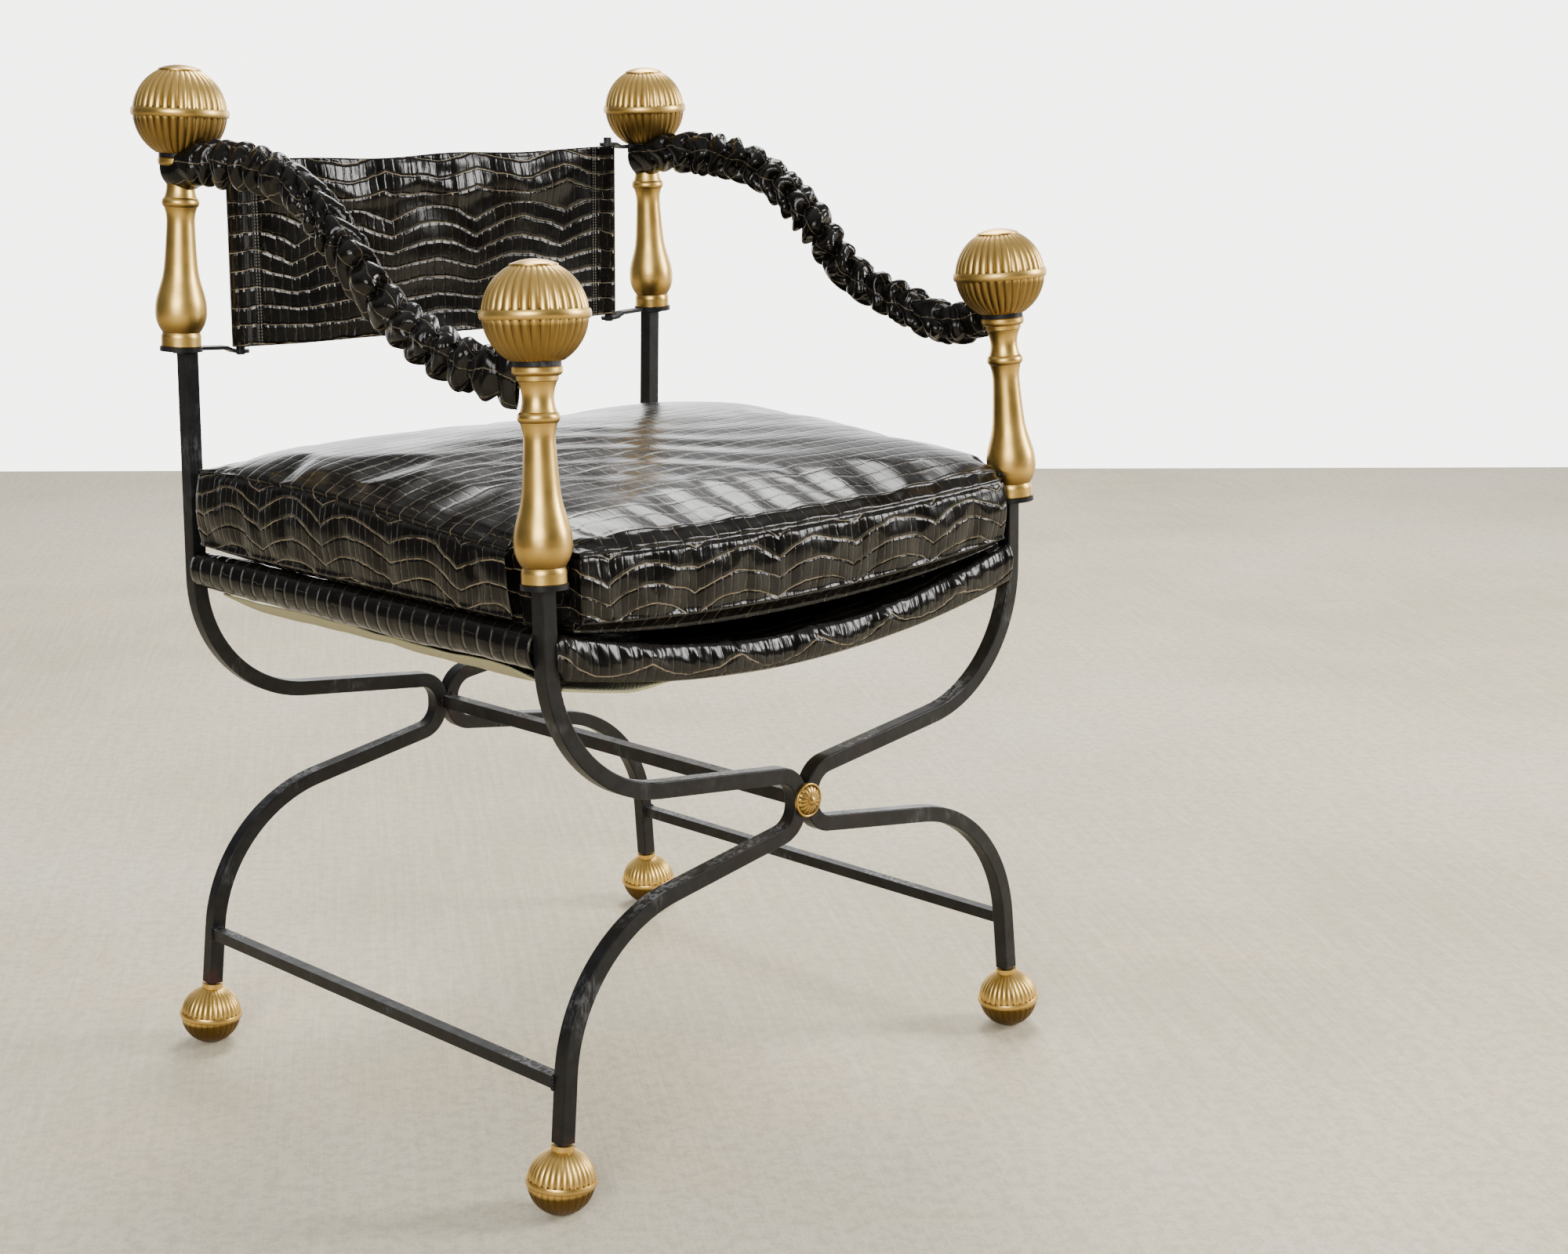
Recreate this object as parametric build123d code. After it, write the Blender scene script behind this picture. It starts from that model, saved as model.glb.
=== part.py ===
from build123d import *
import os
from math import asin, cos, pi, radians, sin, sqrt, tan

# Savonarola armchair: two X-shaped frames of bent square iron bar carry turned brass
# columns, gadrooned brass balls, a leather back, leather arm straps, a leather seat sling
# and a loose cushion. Millimetres. X across the chair, the front faces -Y, +Z up, and the
# origin is on the floor in the middle of the chair.

# ---- driving dimensions ------------------------------------------------------------------
# iron frame, as measured in the plane of each X frame
BAR = 14.0                    # square bar of the legs
BAR_EDGE = 1.2                # rounding of the bar's long edges
POST_X = 273.7                # post axis from the middle plane
KNEE = (258.0, 219.4)         # corner where a lower leg turns down to the foot
MEET_LOW = 259.2              # heights of the two corners where left and right bars meet
MEET_HIGH = 306.6
SHOULDER_V = 339.2            # corner where the arm of the X turns up into the post
KNEE_R = 138.0
MEET_R = 24.0
SHOULDER_R = 123.0
LEG_SPLAY = 5.6               # degrees, the lower leg and its ball lean outwards
FOOT_Y = {"front": -257.5, "rear": 258.5}       # where each frame's plane meets the floor
FRAME_LEAN = {"front": 0.55, "rear": 2.25}      # degrees, both frames lean inwards
POST_TOP = {"front": 506.5, "rear": 653.5}

# rails welded between the frames
CENTRE_RAIL = 12.0
CENTRE_RAIL_Z = 283.0
FOOT_RAIL = 10.5
FOOT_RAIL_X = 271.2
FOOT_RAIL_Z = 107.0
SEAT_ROD_D = 10.0
SEAT_ROD_Z = 462.0

# brass feet
FOOT_R = 27.5
FOOT_RING_R = 29.0
FOOT_RING_HALF = 2.6
FOOT_CENTRE_V = 26.7
FOOT_COLLAR_R = 9.5
FOOT_COLLAR_TOP = 30.4
FOOT_LOW = -27.4              # below the flat that is cut to stand on
FOOT_FLUTES = 28
FOOT_FLUTE_DEPTH = 1.0
LEG_END_GAP = 1.0             # the stud shows between collar and leg
STUD_D = 8.0
STUD_IN_LEG = 12.0
STUD_IN_BALL = 15.0

# turned brass columns, standing outside the post axes, and the plates that clamp them
COLUMN_H = 163.0
BORE_D = 8.5
ROD_D = 8.0
ROD_IN_BALL = 22.0
PLATE = 4.0
PLATE_R = 18.5
COLUMN_OUT = {"front": (2.0, 4.0), "rear": (5.0, 1.5)}    # base's offset from the post, X and Y
COLUMN_LEAN = {"front": (2.4, 3.4), "rear": (2.8, 1.4)}   # degrees in over the seat, X and Y

# brass ball finials
BALL_R = 40.0
BALL_SEAT = 34.5              # ball centre above the plate that it stands on
BALL_RING_R = 42.0
BALL_RING_HALF = 3.5
CAP_R = 18.5
CAP_RIM = 1.2
CAP_TOP = 40.6                # above the ball's centre
BALL_FLUTES = 32
BALL_FLUTE_DEPTH = 1.5

# back panel and its end rods
BACK_ROD_D = 8.0
BACK_ROD_X = 218.5
BACK_ROD_LOW = -7.5           # heights above the rear posts' tops
BACK_ROD_HIGH = 177.0
BACK_LOW = -0.5
BACK_HIGH = 168.0
BACK_T = 5.0
BACK_SLEEVE_R = 7.5
BRACKET_W = 12.0
BRACKET_T = 3.0
EYE_R = 8.0
LOWER_EYE_DROP = 3.5
UPPER_EYE_RISE = 4.0
TONGUE_W = 12.0
TONGUE_T = 2.5
TONGUE_L = 46.0
TONGUE_DROP = 9.0

# arm straps
STRAP_X = 269.0
STRAP_H = 40.0
STRAP_W = 26.0
STRAP_ROUTE = ((210.0, 812.0), (64.0, 817.0), (-76.0, 687.0), (-226.0, 661.0))
STRAP_RADII = (170.0, 250.0)

# seat sling, its lining and the cushion
SLEEVE_W = 24.0
SLEEVE_H = 34.0               # slack sleeve, hanging from its rod
SLEEVE_TOP = 474.0
SLEEVE_FRONT = -240.0
SLEEVE_REAR = 230.5
SLING_T = 4.0
SLING_HALF = 262.0            # half width of the sheet between the sleeves
SLING_SIDE_Z = 469.0
SLING_MIDDLE_Z = 433.0
HEM_SIDE_LOW = 435.0
HEM_MIDDLE_LOW = 404.0
HEM_D = 10.0
SLING_FRONT = -265.0
SLING_REAR = 230.5
LINING_T = 3.0
LINING_SIDE_Z = 440.0
LINING_MIDDLE_Z = 403.0
CUSHION_HALF = 284.0
CUSHION_FRONT = -268.0
CUSHION_REAR = 226.5
CUSHION_CORNER = 22.0
CUSHION_NOTCH_R = 26.5
CUSHION_SEAM_FRONT = 522.5    # height of the top seam in the middle of the front
CUSHION_SEAM_RISE = 17.5      # how much higher it is at the rear
CUSHION_SEAM_SIDE = 9.0       # and at the sides
CUSHION_SWELL = 42.0          # the filling's rise above the seam
SWELL_FLATNESS = 2.6          # how far the flat middle of the swell reaches
SWELL_STEEPNESS = 0.62
CUSHION_SIDE_LOW = 477.0
CUSHION_MIDDLE_LOW = 463.0

# rosette
ROSETTE_R = 15.0
ROSETTE_H = 8.0
ROSETTE_FLUTES = 16
ROSETTE_FLUTE_DEPTH = 0.9
ROSETTE_DOME = ((12.8, 1.6), (11.5, 3.4), (8.5, 4.9), (4.0, 5.8))    # radius and height

SIDES = {"left": -1, "right": 1}
ENDS = {"front": -1, "rear": 1}
FRAMES = {
    end: Location((0, FOOT_Y[end], 0), (e * FRAME_LEAN[end], 0, 0)) for end, e in ENDS.items()
}


# ---- places ------------------------------------------------------------------------------
def column_place(end, side):
    """Underside of a column's lower plate: on top of its post, leaning in over the seat."""
    post = FRAMES[end] * Pos(SIDES[side] * POST_X, 0, POST_TOP[end])
    out_x, out_y = COLUMN_OUT[end]
    lean_x, lean_y = COLUMN_LEAN[end]
    base = Pos(post.position) * Pos(SIDES[side] * out_x, ENDS[end] * out_y, 0)
    return base * Rot(X=ENDS[end] * lean_y) * Rot(Y=-SIDES[side] * lean_x)


def foot_place(end, side):
    """Centre of a ball foot, with +Z up along the splayed leg."""
    run = (KNEE[1] - FOOT_CENTRE_V) / cos(radians(LEG_SPLAY))
    across = KNEE[0] + run * sin(radians(LEG_SPLAY))
    return (
        FRAMES[end]
        * Pos(SIDES[side] * across, 0, FOOT_CENTRE_V)
        * Rot(Y=-SIDES[side] * LEG_SPLAY)
    )


# ---- iron frame --------------------------------------------------------------------------
def leg_bar(end, side):
    """One square bar, bent from foot to post: knee, two tight bends, shoulder."""
    s = SIDES[side]
    run = (KNEE[1] - FOOT_CENTRE_V) / cos(radians(LEG_SPLAY)) - FOOT_COLLAR_TOP - LEG_END_GAP
    leg_end = (KNEE[0] + run * sin(radians(LEG_SPLAY)), KNEE[1] - run * cos(radians(LEG_SPLAY)))
    corners = [
        leg_end,
        KNEE,
        (BAR / 2, MEET_LOW),
        (BAR / 2, MEET_HIGH),
        (POST_X, SHOULDER_V),
        (POST_X, POST_TOP[end] + PLATE),
    ]
    path = FilletPolyline(
        *[(s * u, 0, v) for u, v in corners],
        radius=[KNEE_R, MEET_R, MEET_R, SHOULDER_R],
    )
    start = Plane(origin=path @ 0, x_dir=(0, 1, 0), z_dir=path % 0)
    bar = FRAMES[end] * sweep(start * RectangleRounded(BAR, BAR, BAR_EDGE), path=path)
    bar = split(bar, bisect_by=Plane(column_place(end, side)), keep=Keep.BOTTOM)
    stud_z = FOOT_COLLAR_TOP + LEG_END_GAP + STUD_IN_LEG / 2
    stud_hole = foot_place(end, side) * Pos(0, 0, stud_z) * Cylinder(STUD_D / 2, STUD_IN_LEG)
    return bar - stud_hole


def rail(section, x, z):
    """A straight rail along Y, cut to fit between the inner faces of the two frames."""
    long_rail = extrude(Plane((x, 0, z), x_dir=(1, 0, 0), z_dir=(0, 1, 0)) * section, 400, both=True)
    front_face = Plane(FRAMES["front"] * Pos(0, BAR / 2, 0) * Rot(X=-90))
    rear_face = Plane(FRAMES["rear"] * Pos(0, -BAR / 2, 0) * Rot(X=-90))
    between = split(long_rail, bisect_by=front_face, keep=Keep.TOP)
    return split(between, bisect_by=rear_face, keep=Keep.BOTTOM)


# ---- turned brass ------------------------------------------------------------------------
def turned(profile):
    """A piece turned on the lathe, from its half outline in the XZ plane."""
    return revolve(Plane.XZ * make_face(profile), Axis.Z)


def column():
    """Baluster column with base ring, bulb, bead, neck and cap ring, bored for the rod."""
    bore = BORE_D / 2
    outline = [
        Line((bore, 0), (16.9, 0)),
        Line((16.9, 0), (17.3, 0.8)),
        Line((17.3, 0.8), (17.3, 7.0)),
        ThreePointArc((17.3, 7.0), (17.1, 10.2), (16.2, 12.6)),
        ThreePointArc((16.2, 12.6), (20.6, 20.6), (22.3, 32.0)),
        Spline(
            (22.3, 32.0), (19.6, 48.0), (16.0, 61.0), (13.9, 78.0), (12.3, 104.0), (14.2, 121.0),
            tangents=((0, 1), (0.35, 1)),
        ),
        ThreePointArc((14.2, 121.0), (16.2, 125.0), (14.0, 129.2)),
        ThreePointArc((14.0, 129.2), (12.1, 139.5), (14.9, 152.0)),
        Line((14.9, 152.0), (15.9, 152.6)),
        Line((15.9, 152.6), (16.2, 156.0)),
        ThreePointArc((16.2, 156.0), (18.4, 157.2), (19.2, 159.4)),
        Line((19.2, 159.4), (19.2, 162.2)),
        Line((19.2, 162.2), (18.4, COLUMN_H)),
        Line((18.4, COLUMN_H), (bore, COLUMN_H)),
        Line((bore, COLUMN_H), (bore, 0)),
    ]
    return turned(outline)


def on_sphere(radius, height):
    """Distance from the axis of a sphere's surface at a height above its centre."""
    return sqrt(radius**2 - height**2)


def lobed_face(edge_r, height, count, depth):
    """Flat section of a fluted piece: round lobes around it that meet in sharp valleys."""
    step = 2 * pi / count
    valley_r = edge_r - depth
    lobes = []
    for i in range(count):
        across_lobe = ((valley_r, i), (edge_r, i + 0.5), (valley_r, i + 1))
        points = [(r * cos(n * step), r * sin(n * step), height) for r, n in across_lobe]
        lobes.append(ThreePointArc(*points))
    return Face(Wire(lobes))


def ball_zone(radius, low, high, count, depth):
    """Fluted zone of a ball between two heights; the flutes narrow towards the pole."""
    steps = 5
    start = asin(low / radius)
    step = (asin(high / radius) - start) / steps
    sections = []
    for i in range(steps + 1):
        latitude = start + i * step
        narrowing = cos(latitude)
        height = radius * sin(latitude)
        sections.append(lobed_face(radius * narrowing, height, count, depth * narrowing))
    return loft(sections)


def fluted_ball(radius, low, high, ring_r, ring_half, count, depth):
    """Ball around the origin, fluted above and below a plain half-round ring."""
    edge = ring_r - ring_half / 4
    ring = turned([
        Line((0, -ring_half), (edge, -ring_half)),
        ThreePointArc((edge, -ring_half), (ring_r, 0), (edge, ring_half)),
        Line((edge, ring_half), (0, ring_half)),
        Line((0, ring_half), (0, -ring_half)),
    ])
    upper = ball_zone(radius, ring_half, high, count, depth)
    lower = ball_zone(radius, low, -ring_half, count, depth)
    return ring + upper + lower


def ball_finial():
    """Fluted brass ball with a domed cap, standing on its flat seat, bored for the rod."""
    cap_low = on_sphere(BALL_R, CAP_R)
    rim = cap_low + CAP_RIM
    cap = turned([
        Line((0, cap_low), (CAP_R, cap_low)),
        Line((CAP_R, cap_low), (CAP_R, rim)),
        TangentArc((0, CAP_TOP), (CAP_R, rim), tangent=(1, 0)),
        Line((0, CAP_TOP), (0, cap_low)),
    ])
    ball = fluted_ball(
        BALL_R, -BALL_SEAT, cap_low, BALL_RING_R, BALL_RING_HALF, BALL_FLUTES, BALL_FLUTE_DEPTH
    )
    hole = Pos(0, 0, ROD_IN_BALL / 2) * Cylinder(ROD_D / 2, ROD_IN_BALL)
    return Pos(0, 0, BALL_SEAT) * (ball + cap) - hole


def ball_foot(end, side):
    """Small fluted ball with a neck collar, cut flat where it stands on the floor."""
    collar_low = on_sphere(FOOT_R, FOOT_COLLAR_R)
    ball = fluted_ball(
        FOOT_R, FOOT_LOW, collar_low, FOOT_RING_R, FOOT_RING_HALF, FOOT_FLUTES, FOOT_FLUTE_DEPTH
    )
    collar_h = FOOT_COLLAR_TOP - collar_low
    collar = Pos(0, 0, collar_low + collar_h / 2) * Cylinder(FOOT_COLLAR_R, collar_h)
    hole = Pos(0, 0, FOOT_COLLAR_TOP - STUD_IN_BALL / 2) * Cylinder(STUD_D / 2, STUD_IN_BALL)
    foot = foot_place(end, side) * (ball + collar - hole)
    return split(foot, bisect_by=Plane.XY, keep=Keep.TOP)


def rosette():
    """Fluted brass disc with a raised rim and a button, on the front of the junction."""
    button_r, button_low = ROSETTE_DOME[-1]
    button_rim = button_low + 0.6
    rim = turned([
        Line((0, 0), (ROSETTE_R, 0)),
        Line((ROSETTE_R, 0), (ROSETTE_R, 1.6)),
        ThreePointArc((ROSETTE_R, 1.6), (14.0, 2.9), (12.8, 1.6)),
        Line((12.8, 1.6), (0, 1.6)),
        Line((0, 1.6), (0, 0)),
    ])
    dome = loft([
        lobed_face(r, height, ROSETTE_FLUTES, ROSETTE_FLUTE_DEPTH * r / ROSETTE_R)
        for r, height in ROSETTE_DOME
    ])
    button = turned([
        Line((0, button_low), (button_r, button_low)),
        Line((button_r, button_low), (button_r, button_rim)),
        TangentArc((0, ROSETTE_H), (button_r, button_rim), tangent=(1, 0)),
        Line((0, ROSETTE_H), (0, button_low)),
    ])
    on_bar = FRAMES["front"] * Pos(0, -BAR / 2, (MEET_LOW + MEET_HIGH) / 2) * Rot(X=90)
    return on_bar * (rim + dome + button)


# ---- plates and rods ---------------------------------------------------------------------
def plate(hole_d):
    """Round iron plate that a column or ball stands on, drilled for the rod."""
    return Pos(0, 0, PLATE / 2) * (Cylinder(PLATE_R, PLATE) - Cylinder(hole_d / 2, PLATE))


def arm_of_plate(length, rise, width, thickness, direction):
    """Flat arm bent off a plate's level; direction is degrees about the column."""
    start = PLATE_R - 3
    low = (PLATE - thickness) / 2
    bend = 8.0
    outline = Polyline(
        (start, low),
        (length - bend - 8, low),
        (length - 8, low + rise),
        (length, low + rise),
        (length, low + rise + thickness),
        (length - 8, low + rise + thickness),
        (length - bend - 8, low + thickness),
        (start, low + thickness),
        close=True,
    )
    arm = extrude(Plane.XZ * make_face(outline), width / 2, both=True)
    return Rot(Z=direction) * arm


def back_bracket(side, length, rise, hole_d):
    """Plate with an arm and an eye that holds one end of a back rod."""
    inward = 180 if side == "right" else 0
    low = (PLATE - BRACKET_T) / 2 + rise
    eye = Pos(length, 0, low + BRACKET_T / 2) * Cylinder(EYE_R, BRACKET_T)
    arm = arm_of_plate(length, rise, BRACKET_W, BRACKET_T, inward)
    return plate(hole_d) + arm + Rot(Z=inward) * eye


def strap_tongue(end):
    """Tongue off an upper plate that reaches into the end of the arm strap."""
    along = 90 if end == "front" else -90
    return arm_of_plate(TONGUE_L, -TONGUE_DROP, TONGUE_W, TONGUE_T, along)


def back_place():
    """Middle of the back's plane, at the height of the rear posts' tops."""
    base = column_place("rear", "right").position
    return Pos(0, base.Y, base.Z) * Rot(X=COLUMN_LEAN["rear"][1])


def back_rod(side):
    """Round rod in the sewn end of the back panel."""
    length = BACK_ROD_HIGH - BACK_ROD_LOW
    middle = (BACK_ROD_HIGH + BACK_ROD_LOW) / 2
    return back_place() * Pos(SIDES[side] * BACK_ROD_X, 0, middle) * Cylinder(BACK_ROD_D / 2, length)


def tie_rod(end, side):
    """Rod that stands in the lower plate and runs up through the column into the ball."""
    length = 2 * PLATE + COLUMN_H + ROD_IN_BALL
    return column_place(end, side) * Pos(0, 0, length / 2) * Cylinder(ROD_D / 2, length)


def foot_stud(end, side):
    """Stud that joins a leg's end to its ball foot."""
    low = FOOT_COLLAR_TOP - STUD_IN_BALL
    high = FOOT_COLLAR_TOP + LEG_END_GAP + STUD_IN_LEG
    return foot_place(end, side) * Pos(0, 0, (low + high) / 2) * Cylinder(STUD_D / 2, high - low)


# ---- leather and cloth -------------------------------------------------------------------
def arm_strap(side, neighbours):
    """Padded strap hanging in an S from the rear column to the front one."""
    x = SIDES[side] * STRAP_X
    path = FilletPolyline(*[(x, y, z) for y, z in STRAP_ROUTE], radius=list(STRAP_RADII))
    start = Plane(origin=path @ 0, x_dir=(1, 0, 0), z_dir=path % 0)
    strap = sweep(start * Ellipse(STRAP_W / 2, STRAP_H / 2), path=path)
    for neighbour in neighbours:
        strap -= neighbour
    return strap


def back_panel(rods):
    """Leather panel with a sewn sleeve at each end for its rod."""
    height = BACK_HIGH - BACK_LOW
    middle = (BACK_HIGH + BACK_LOW) / 2
    panel = Box(2 * BACK_ROD_X, BACK_T, height)
    for s in SIDES.values():
        panel += Pos(s * BACK_ROD_X, 0, 0) * Cylinder(BACK_SLEEVE_R, height)
    panel = back_place() * Pos(0, 0, middle) * panel
    for rod in rods:
        panel -= rod
    return panel


def sag_band(half, side_top, middle_top, side_low, middle_low):
    """Closed outline of a band that hangs in an arc between two upright ends."""
    upper = ThreePointArc((-half, side_top), (0, middle_top), (half, side_top))
    lower = ThreePointArc((-half, side_low), (0, middle_low), (half, side_low))
    ends = [Line((s * half, side_top), (s * half, side_low)) for s in (-1, 1)]
    return make_face([upper, lower, *ends])


def along_y(face, low, high):
    """Extrude a front-view face from one Y to another."""
    return extrude(Plane((0, high, 0), x_dir=(1, 0, 0), z_dir=(0, -1, 0)) * face, high - low)


def seat_sling():
    """Leather sling: sleeves over the seat rods, a sagging sheet, a deep hem front and rear."""
    sheet = sag_band(
        SLING_HALF, SLING_SIDE_Z, SLING_MIDDLE_Z, SLING_SIDE_Z - SLING_T, SLING_MIDDLE_Z - SLING_T
    )
    hem = sag_band(SLING_HALF, SLING_SIDE_Z, SLING_MIDDLE_Z, HEM_SIDE_LOW, HEM_MIDDLE_LOW)
    sling = along_y(sheet, SLING_FRONT, SLING_REAR)
    sling += along_y(hem, SLING_FRONT, SLING_FRONT + HEM_D)
    sling += along_y(hem, SLING_REAR - HEM_D, SLING_REAR)
    sleeve = Ellipse(SLEEVE_W / 2, SLEEVE_H / 2)
    for s in SIDES.values():
        sling += along_y(Pos(s * POST_X, SLEEVE_TOP - SLEEVE_H / 2) * sleeve, SLEEVE_FRONT, SLEEVE_REAR)
    return sling


def seat_lining(sling):
    """Slack jute lining under the sling, between its two hems."""
    band = sag_band(
        SLING_HALF, LINING_SIDE_Z, LINING_MIDDLE_Z, LINING_SIDE_Z - LINING_T, LINING_MIDDLE_Z - LINING_T
    )
    return along_y(band, SLING_FRONT + HEM_D, SLING_REAR - HEM_D) - sling


def cushion_top(centre_y, depth):
    """Crowned top panel: low along its seam, steep just inside it, nearly flat in the middle."""
    steps = 16
    grid = []
    for i in range(steps + 1):
        across = sin(pi * (i / steps - 0.5))
        column_points = []
        for j in range(steps + 1):
            along = sin(pi * (j / steps - 0.5))
            back = min((along + 1) / 1.4, 1)
            seam = CUSHION_SEAM_FRONT + CUSHION_SEAM_RISE * back * back * (3 - 2 * back)
            seam += CUSHION_SEAM_SIDE * across**2
            fill = (1 - abs(across) ** SWELL_FLATNESS) * (1 - abs(along) ** SWELL_FLATNESS)
            height = seam + CUSHION_SWELL * max(fill, 0) ** SWELL_STEEPNESS
            column_points.append(
                (across * (CUSHION_HALF + 0.5), centre_y + along * (depth / 2 + 0.5), height)
            )
        grid.append(column_points)
    return Face.make_surface_from_array_of_points(grid, tol=0.5)


def seat_cushion():
    """Loose boxed cushion: crowned top, slack bottom, front corners cut round the columns."""
    width = 2 * CUSHION_HALF
    depth = CUSHION_REAR - CUSHION_FRONT
    centre_y = (CUSHION_REAR + CUSHION_FRONT) / 2
    highest = CUSHION_SEAM_FRONT + CUSHION_SEAM_RISE + CUSHION_SEAM_SIDE + CUSHION_SWELL
    under_top = Solid.extrude(cushion_top(centre_y, depth), Vector(0, 0, CUSHION_MIDDLE_LOW - highest))
    bottom = sag_band(CUSHION_HALF + 1, highest, highest + 1, CUSHION_SIDE_LOW, CUSHION_MIDDLE_LOW)
    footprint = Pos(0, centre_y) * RectangleRounded(width, depth, CUSHION_CORNER)
    block = Pos(0, 0, CUSHION_MIDDLE_LOW - 5) * extrude(footprint, highest - CUSHION_MIDDLE_LOW)
    cushion = block & along_y(bottom, CUSHION_FRONT, CUSHION_REAR)
    cushion &= under_top
    for side in SIDES:
        column_foot = column_place("front", side).position
        cushion -= Pos(column_foot) * Cylinder(CUSHION_NOTCH_R, 4 * BALL_R)
    return cushion


# ---- assembly ----------------------------------------------------------------------------
parts = {}

for end in FRAMES:
    for side in SIDES:
        corner = f"{end}_{side}"
        parts[f"{corner}_leg"] = leg_bar(end, side)
        parts[f"{corner}_ball_foot"] = ball_foot(end, side)

parts["foot_studs"] = Compound(children=[foot_stud(end, side) for end in FRAMES for side in SIDES])
parts["centre_rail"] = rail(Rectangle(CENTRE_RAIL, CENTRE_RAIL), 0, CENTRE_RAIL_Z)
for side, s in SIDES.items():
    parts[f"{side}_foot_rail"] = rail(Rectangle(FOOT_RAIL, FOOT_RAIL), s * FOOT_RAIL_X, FOOT_RAIL_Z)
    parts[f"{side}_seat_rod"] = rail(Circle(SEAT_ROD_D / 2), s * POST_X, SEAT_ROD_Z)
parts["rosette"] = rosette()

UPPER_PLATE_Z = PLATE + COLUMN_H
lower_arm = POST_X + COLUMN_OUT["rear"][0] - BACK_ROD_X
upper_arm = lower_arm - UPPER_PLATE_Z * tan(radians(COLUMN_LEAN["rear"][0]))
for side in SIDES:
    parts[f"{side}_back_rod"] = back_rod(side)

for end in FRAMES:
    for side in SIDES:
        corner = f"{end}_{side}"
        place = column_place(end, side)
        upper = place * Pos(0, 0, UPPER_PLATE_Z)
        if end == "front":
            parts[f"{corner}_lower_plate"] = place * plate(ROD_D)
            top_plate = plate(BORE_D)
        else:
            rod = parts[f"{side}_back_rod"]
            lower_bracket = place * back_bracket(side, lower_arm, -LOWER_EYE_DROP, ROD_D)
            parts[f"{corner}_lower_bracket"] = lower_bracket - rod
            top_plate = back_bracket(side, upper_arm, UPPER_EYE_RISE, BORE_D)
        top_plate = upper * (top_plate + strap_tongue(end))
        if end == "rear":
            top_plate -= rod
            parts[f"{corner}_upper_bracket"] = top_plate
        else:
            parts[f"{corner}_upper_plate"] = top_plate
        parts[f"{corner}_column"] = place * Pos(0, 0, PLATE) * column()
        parts[f"{corner}_ball_finial"] = upper * Pos(0, 0, PLATE) * ball_finial()

parts["tie_rods"] = Compound(children=[tie_rod(end, side) for end in FRAMES for side in SIDES])
parts["back_panel"] = back_panel([parts[f"{side}_back_rod"] for side in SIDES])

for side in SIDES:
    around = [parts[f"{end}_{side}_ball_finial"] for end in FRAMES]
    around += [parts[f"rear_{side}_upper_bracket"], parts[f"front_{side}_upper_plate"]]
    around += [parts[f"{end}_{side}_column"] for end in FRAMES]
    parts[f"{side}_arm_strap"] = arm_strap(side, around)

sling = seat_sling()
for side in SIDES:
    sling -= parts[f"{side}_seat_rod"]
parts["seat_sling"] = sling
parts["seat_lining"] = seat_lining(sling)
parts["seat_cushion"] = seat_cushion()

os.makedirs("parts", exist_ok=True)
for name, shape in parts.items():
    export_step(shape, f"parts/{name}.step")
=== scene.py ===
from math import atan2, cos, exp, hypot, pi, radians, sin, sqrt

import bmesh
import bpy
from mathutils import Matrix, Vector, noise


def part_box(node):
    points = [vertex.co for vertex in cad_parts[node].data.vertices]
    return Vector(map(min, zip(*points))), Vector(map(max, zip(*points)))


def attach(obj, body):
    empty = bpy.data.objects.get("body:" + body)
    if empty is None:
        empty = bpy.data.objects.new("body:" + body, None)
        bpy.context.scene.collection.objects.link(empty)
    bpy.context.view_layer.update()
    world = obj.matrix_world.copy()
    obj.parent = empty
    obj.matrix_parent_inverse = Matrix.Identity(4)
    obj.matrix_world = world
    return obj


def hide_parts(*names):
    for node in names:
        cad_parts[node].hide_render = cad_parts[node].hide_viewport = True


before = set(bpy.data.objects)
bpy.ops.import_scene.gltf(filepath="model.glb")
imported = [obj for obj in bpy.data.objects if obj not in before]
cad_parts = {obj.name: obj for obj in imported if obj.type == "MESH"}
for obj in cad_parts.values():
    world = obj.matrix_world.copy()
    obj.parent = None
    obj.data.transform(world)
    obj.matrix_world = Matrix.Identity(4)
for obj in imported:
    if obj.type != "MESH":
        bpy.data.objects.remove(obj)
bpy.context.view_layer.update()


# ---- camera ------------------------------------------------------------------------------
# A camera at waist height off the chair's front left corner, looking a little down, with a
# short telephoto lens and everything sharp.
def placed(name, data):
    """A new object in the scene."""
    piece = bpy.data.objects.new(name, data)
    bpy.context.scene.collection.objects.link(piece)
    return piece


camera_at = (-1.3886, -1.6252, 0.8629)
camera_yaw, camera_pitch, camera_roll = radians(44.972), radians(12.438), radians(-0.431)
camera_data = bpy.data.cameras.new("studio_camera")
camera_data.sensor_width = 36.0
camera_data.lens = 54.614
camera_data.clip_end = 60.0
camera = placed("studio_camera", camera_data)
forward = cos(camera_pitch)
ahead = Vector((sin(camera_yaw) * forward, cos(camera_yaw) * forward, -sin(camera_pitch)))
level_right = Vector((cos(camera_yaw), -sin(camera_yaw), 0.0))
level_up = level_right.cross(ahead)
right = cos(camera_roll) * level_right + sin(camera_roll) * level_up
up = cos(camera_roll) * level_up - sin(camera_roll) * level_right
turned = Matrix((right, up, -ahead)).transposed().to_4x4()
camera.matrix_world = Matrix.Translation(camera_at) @ turned
bpy.context.scene.camera = camera


# ---- floor and light ---------------------------------------------------------------------
# A pale broomed concrete floor, seven metres square, lit by a tall window on the right, a
# high soft light on the left and one above, in a dim room with a bright wall behind the chair.
def wired(tree, kind, inputs, **settings):
    """Add a node, apply its settings, and link or set its inputs."""
    node = tree.nodes.new(kind)
    for key, value in settings.items():
        setattr(node, key, value)
    for key, value in inputs.items():
        if isinstance(value, bpy.types.NodeSocket):
            tree.links.new(value, node.inputs[key])
        else:
            node.inputs[key].default_value = value
    return node


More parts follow.
